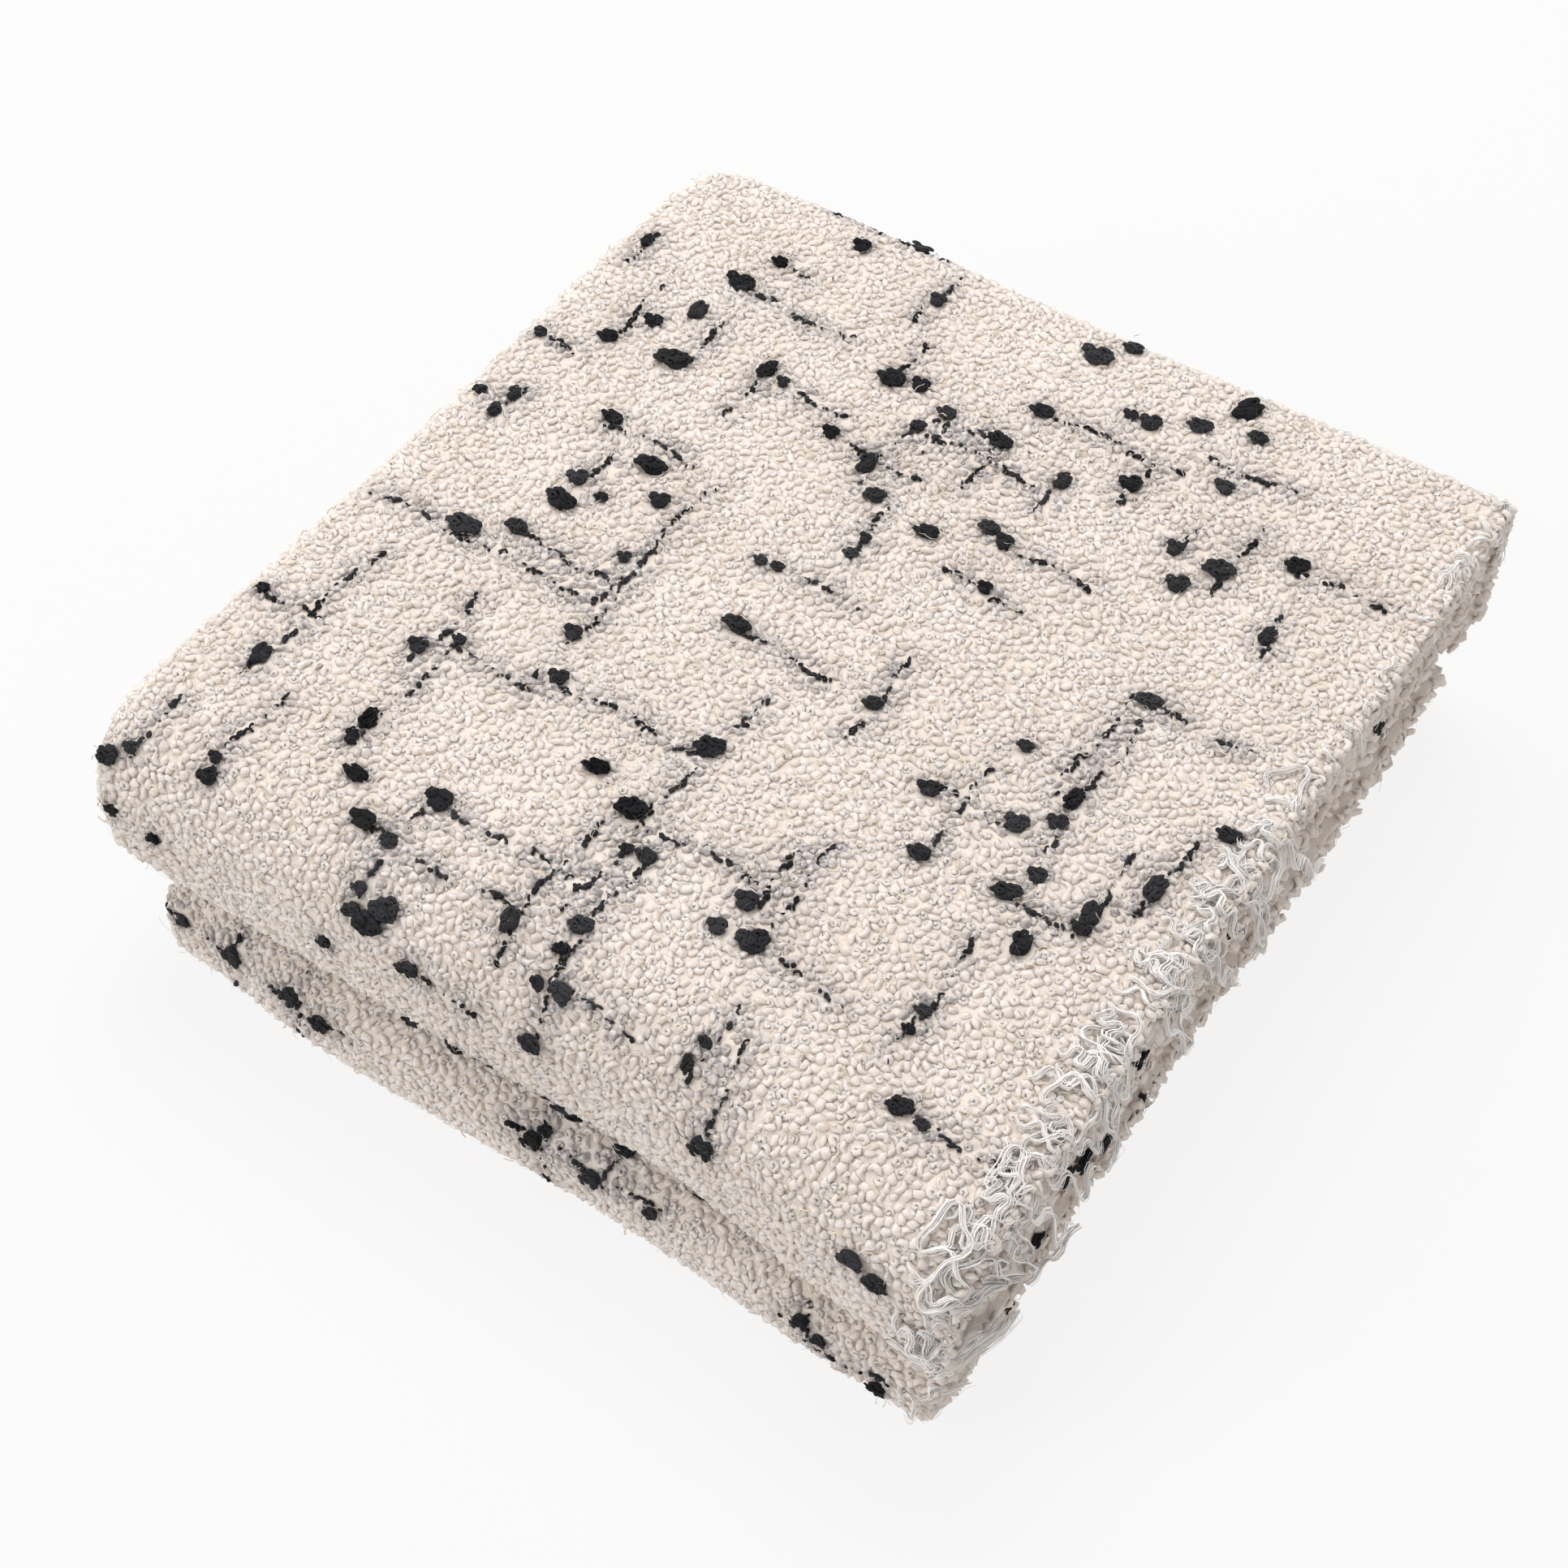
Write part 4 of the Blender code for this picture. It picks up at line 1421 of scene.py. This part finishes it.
# name, half, segment, from, to, steps, whether it lies on the spine, how fine
for name, half, segment, first, last, steps, on_spine, kind in (
    ("upper_front_fold", UPPER, "fold", 0.0, 0.92, 24, False, WITH_HAIRS),
    ("upper_back", UPPER, "cover_back", 1.0, 0.0, 10, True, WITH_HAIRS),
    ("upper_spine_corner", UPPER, "corner", 0.0, 1.0, 8, True, FINE),
    ("lower_front_fold", LOWER, "fold", 0.05, 0.92, 22, False, WITH_HAIRS),
    ("upper_spine", UPPER, "spine", 0.0, 1.0, 10, True, MEDIUM),
    ("lower_spine", LOWER, "spine", 0.0, 1.0, 10, True, MEDIUM),
    ("lower_spine_corner", LOWER, "corner", 0.0, 1.0, 8, True, MEDIUM),
    ("lower_back", LOWER, "cover_back", 1.0, 0.0, 8, True, COARSE),
    ("lower_cover", LOWER, "cover", 0.0, 1.0, 44, False, COARSE),
    ("upper_flap", UPPER, "flap", 0.0, 1.0, 44, False, COARSE),
    ("lower_flap", LOWER, "flap", 0.0, 1.0, 44, False, COARSE),
):
    grow(name, half, fine_stations(segment, first, last, steps),
         upper_face if half is UPPER else lower_face, on_spine, **kind)

# %% [markdown]
# The right side shows the raw edge of the outer layer and, under it, the fold that joins the two
# inner layers. The left side shows the end of the innermost layer inside the closed side fold. The
# inside of the spine shows when the throw is opened, so it carries pile as well.

# %% Sides and inside of the spine
SIDE = dict(shapes=plain_curls, spacing=0.0056, low=1.2, high=1.75)
for half in (UPPER, LOWER):
    name = half["name"]
    around = (fine_stations("cover", 0.0, 1.0, 40) + fine_stations("fold", 0.0, 1.0, 20)[1:]
              + fine_stations("flap", 0.0, 1.0, 40)[1:])
    behind = (fine_stations("spine", 0.0, 1.0, 8) + fine_stations("corner", 0.0, 1.0, 8)[1:]
              + fine_stations("cover_back", 0.0, 1.0, 8)[1:])
    for part, columns in (("open_fold", open_fold_columns(half)), ("raw_edge", raw_edge_columns(half)),
                          ("inner_end", inner_end_columns(half))):
        grow(f"{name}_{part}", half, around, columns, False, hair_spacing=0.015, **SIDE)
        grow(f"{name}_spine_{part}", half, behind, columns, True, **SIDE)
    grow(f"{name}_spine_inside", half, behind, inside_columns(half), True, **COARSE)

# %% [markdown]
# ## The curly fringe
#
# The raw edge ends in thick, loosely spun yarn that has curled back on itself. Each length is spun
# from several finer strands that follow one wandering path.


# %% Fringe paths
STRANDS, STRAY = 9, 2          # strands spun into each length of fringe, and loose ones round it


def wandering_path(rng, length, steps, curl):
    """A flat path (outward, sideways), crimped like unravelled yarn. Some of them close a ring."""
    heading = rng.uniform(-0.6, 0.6)
    rings = rng.random() < 0.3
    spin = rng.choice([-1, 1]) * (rng.uniform(0.8, 1.3) if rings else rng.uniform(0.0, 0.3)) * curl
    swing = rng.uniform(0.9, 1.7) * (0.5 if rings else 1.0)
    rate, phase = length / rng.uniform(0.014, 0.022), rng.uniform(0, 6.28)
    point, path = np.zeros(2), []
    for i in range(steps):
        t = i / (steps - 1)
        path.append(point.copy())
        way = heading + spin * 6.28 * t ** 1.5 + swing * math.sin(phase + rate * 6.28 * t)
        point = point + length / steps * np.array([math.cos(way), math.sin(way)])
    return np.array(path)


def fringe_strands(half, along_from, along_to, gap, rng, length, curl, over):
    """Polylines of fringe along the raw edge. over: how far in from the edge they lie."""
    lines, thick = [], []
    edge = (half["edge"] - LEFT) / TENTH_X
    along = along_from
    while along < along_to:
        along += gap * rng.uniform(0.6, 1.4)
        path = wandering_path(rng, length * rng.uniform(0.7, 1.25), 30, curl)
        inner = rng.uniform(over * 0.5, over)
        out = np.clip(path[:, 0] - inner, -over * 1.3, 0.016)
        side = path[:, 1]
        beyond = np.maximum(out + 0.004, 0.0)
        down = 0.9 * beyond + 35.0 * beyond ** 2
        spots = [(edge + min(o, -0.0005) / TENTH_X, along + s / TENTH_Y) for o, s in zip(out, side)]
        points, normals, across_way, _ = on_cloth(half, spots)
        arch = 0.0022 + 0.0030 * np.sin(np.linspace(0, math.pi, len(out))) * rng.uniform(0.3, 1.2)
        lift = (arch - down)[:, None]
        base = points + normals * lift + across_way * np.maximum(out, 0.0)[:, None] * 0.75
        t = np.linspace(0, 1, len(base))
        for k in range(STRANDS + STRAY):
            stray = k >= STRANDS
            away = rng.uniform(0.0012, 0.0026) if stray else rng.uniform(0.0002, 0.0014)
            away = away * (1 + 0.6 * np.sin(rng.uniform(0, 6.28) + rng.uniform(4, 12) * t))
            twist = 2 * math.pi * k / STRANDS + rng.uniform(1.0, 4.0) * t
            lines.append(base + away[:, None] * (np.cos(twist)[:, None] * normals
                                                 + np.sin(twist)[:, None] * across_way))
            body = 0.00012 if stray else rng.uniform(0.00024, 0.00042)
            thick.append(body * (0.35 + 0.65 * np.sin(math.pi * (0.08 + 0.84 * t))))
    return lines, thick


# %% [markdown]
# The strands are lines with a thickness on each point. The strand tree gives them their round body,
# and the finished fringe is attached like the rest of the pile.


# %% Spin and attach the fringe
def spin(name, lines, thick):
    vertices = np.vstack(lines)
    edges, offset = [], 0
    for line in lines:
        edges += [(offset + i, offset + i + 1) for i in range(len(line) - 1)]
        offset += len(line)
    mesh = bpy.data.meshes.new(name)
    mesh.from_pydata([tuple(map(float, v)) for v in vertices], edges, [])
    layer = mesh.attributes.new("thick", "FLOAT", "POINT")
    layer.data.foreach_set("value", np.concatenate(thick))
    source = bpy.data.objects.new(name, mesh)
    bpy.context.collection.objects.link(source)
    return run_tree(name + "_strands", source, STRAND, Sides=3, Material=pale)


def add_fringe(name, half, spans, seed, on_spine):
    """One piece of fringe along a stretch of the raw edge."""
    rng = np.random.default_rng(seed)
    lines, thick = [], []
    for along_from, along_to, gap, length, curl, over in spans:
        more, sizes = fringe_strands(half, along_from, along_to, gap, rng, length, curl, over)
        lines += more
        thick += sizes
    piece = spin(name, lines, thick)
    attach(piece, half, on_spine)
    print(piece.name, triangles(piece))


# each span: from, to, gap between lengths, length in metres, curl, how far in it lies
add_fringe("upper_fringe_yarn", UPPER, [
    (-2.0, 2.2, 0.13, 0.070, 1.0, 0.024), (2.2, 5.3, 0.14, 0.060, 0.9, 0.019),
    (5.3, 8.3, 0.50, 0.013, 0.3, 0.006)], 41, False)
add_fringe("spine_fringe_yarn", UPPER, [(8.4, 11.4, 0.24, 0.018, 0.4, 0.008)], 42, True)
add_fringe("upper_flap_fringe_yarn", UPPER, [(-9.5, -2.1, 0.80, 0.014, 0.3, 0.007)], 43, False)
add_fringe("lower_fringe_yarn", LOWER, [
    (-9.5, -1.6, 0.80, 0.013, 0.3, 0.007), (-1.6, 1.0, 0.40, 0.030, 0.8, 0.010),
    (1.0, 8.3, 0.80, 0.013, 0.3, 0.007)], 44, False)
add_fringe("lower_spine_fringe_yarn", LOWER, [(8.4, 11.0, 0.36, 0.014, 0.3, 0.008)], 45, True)

# %% [markdown]
# The single shapes and the clouds of points have been copied into the finished pieces. They are taken
# away, so that only the throw is left.


# %% Remove the shapes and helpers
for made in CLEAR.values():
    bpy.data.objects.remove(made)
for family in (fine_curls, plain_curls, hairs, threads, slub_family, plain_slubs):
    for made in list(family.objects):
        bpy.data.objects.remove(made)
    bpy.data.collections.remove(family)

# %% [markdown]
# ## Flat sizes
#
# Unfolded, the four stretches of cloth make one throw of about 130 x 180 cm with its fringe. The
# lengths are measured along the middle of the folded stack, and the width is three folded widths and
# the turns between them.

# %% Flat sizes
shown = [o for pieces in with_cloth.values() for o in pieces]
print("all pieces:", triangles(upper_cloth, lower_cloth, spine_upper_cloth, spine_lower_cloth, *shown))


def run_length(half, parts):
    places = [half_point(half, 0.0, st, half["layer"] * 1.5)[0] for st in stations(parts)]
    return float(np.linalg.norm(np.diff(np.array(places), axis=0), axis=1).sum())


for cloth, half, parts in (
    (upper_cloth, UPPER, HALF_PARTS), (lower_cloth, LOWER, HALF_PARTS),
    (spine_upper_cloth, UPPER, SPINE_PARTS), (spine_lower_cloth, LOWER, SPINE_PARTS),
):
    length = run_length(half, parts)
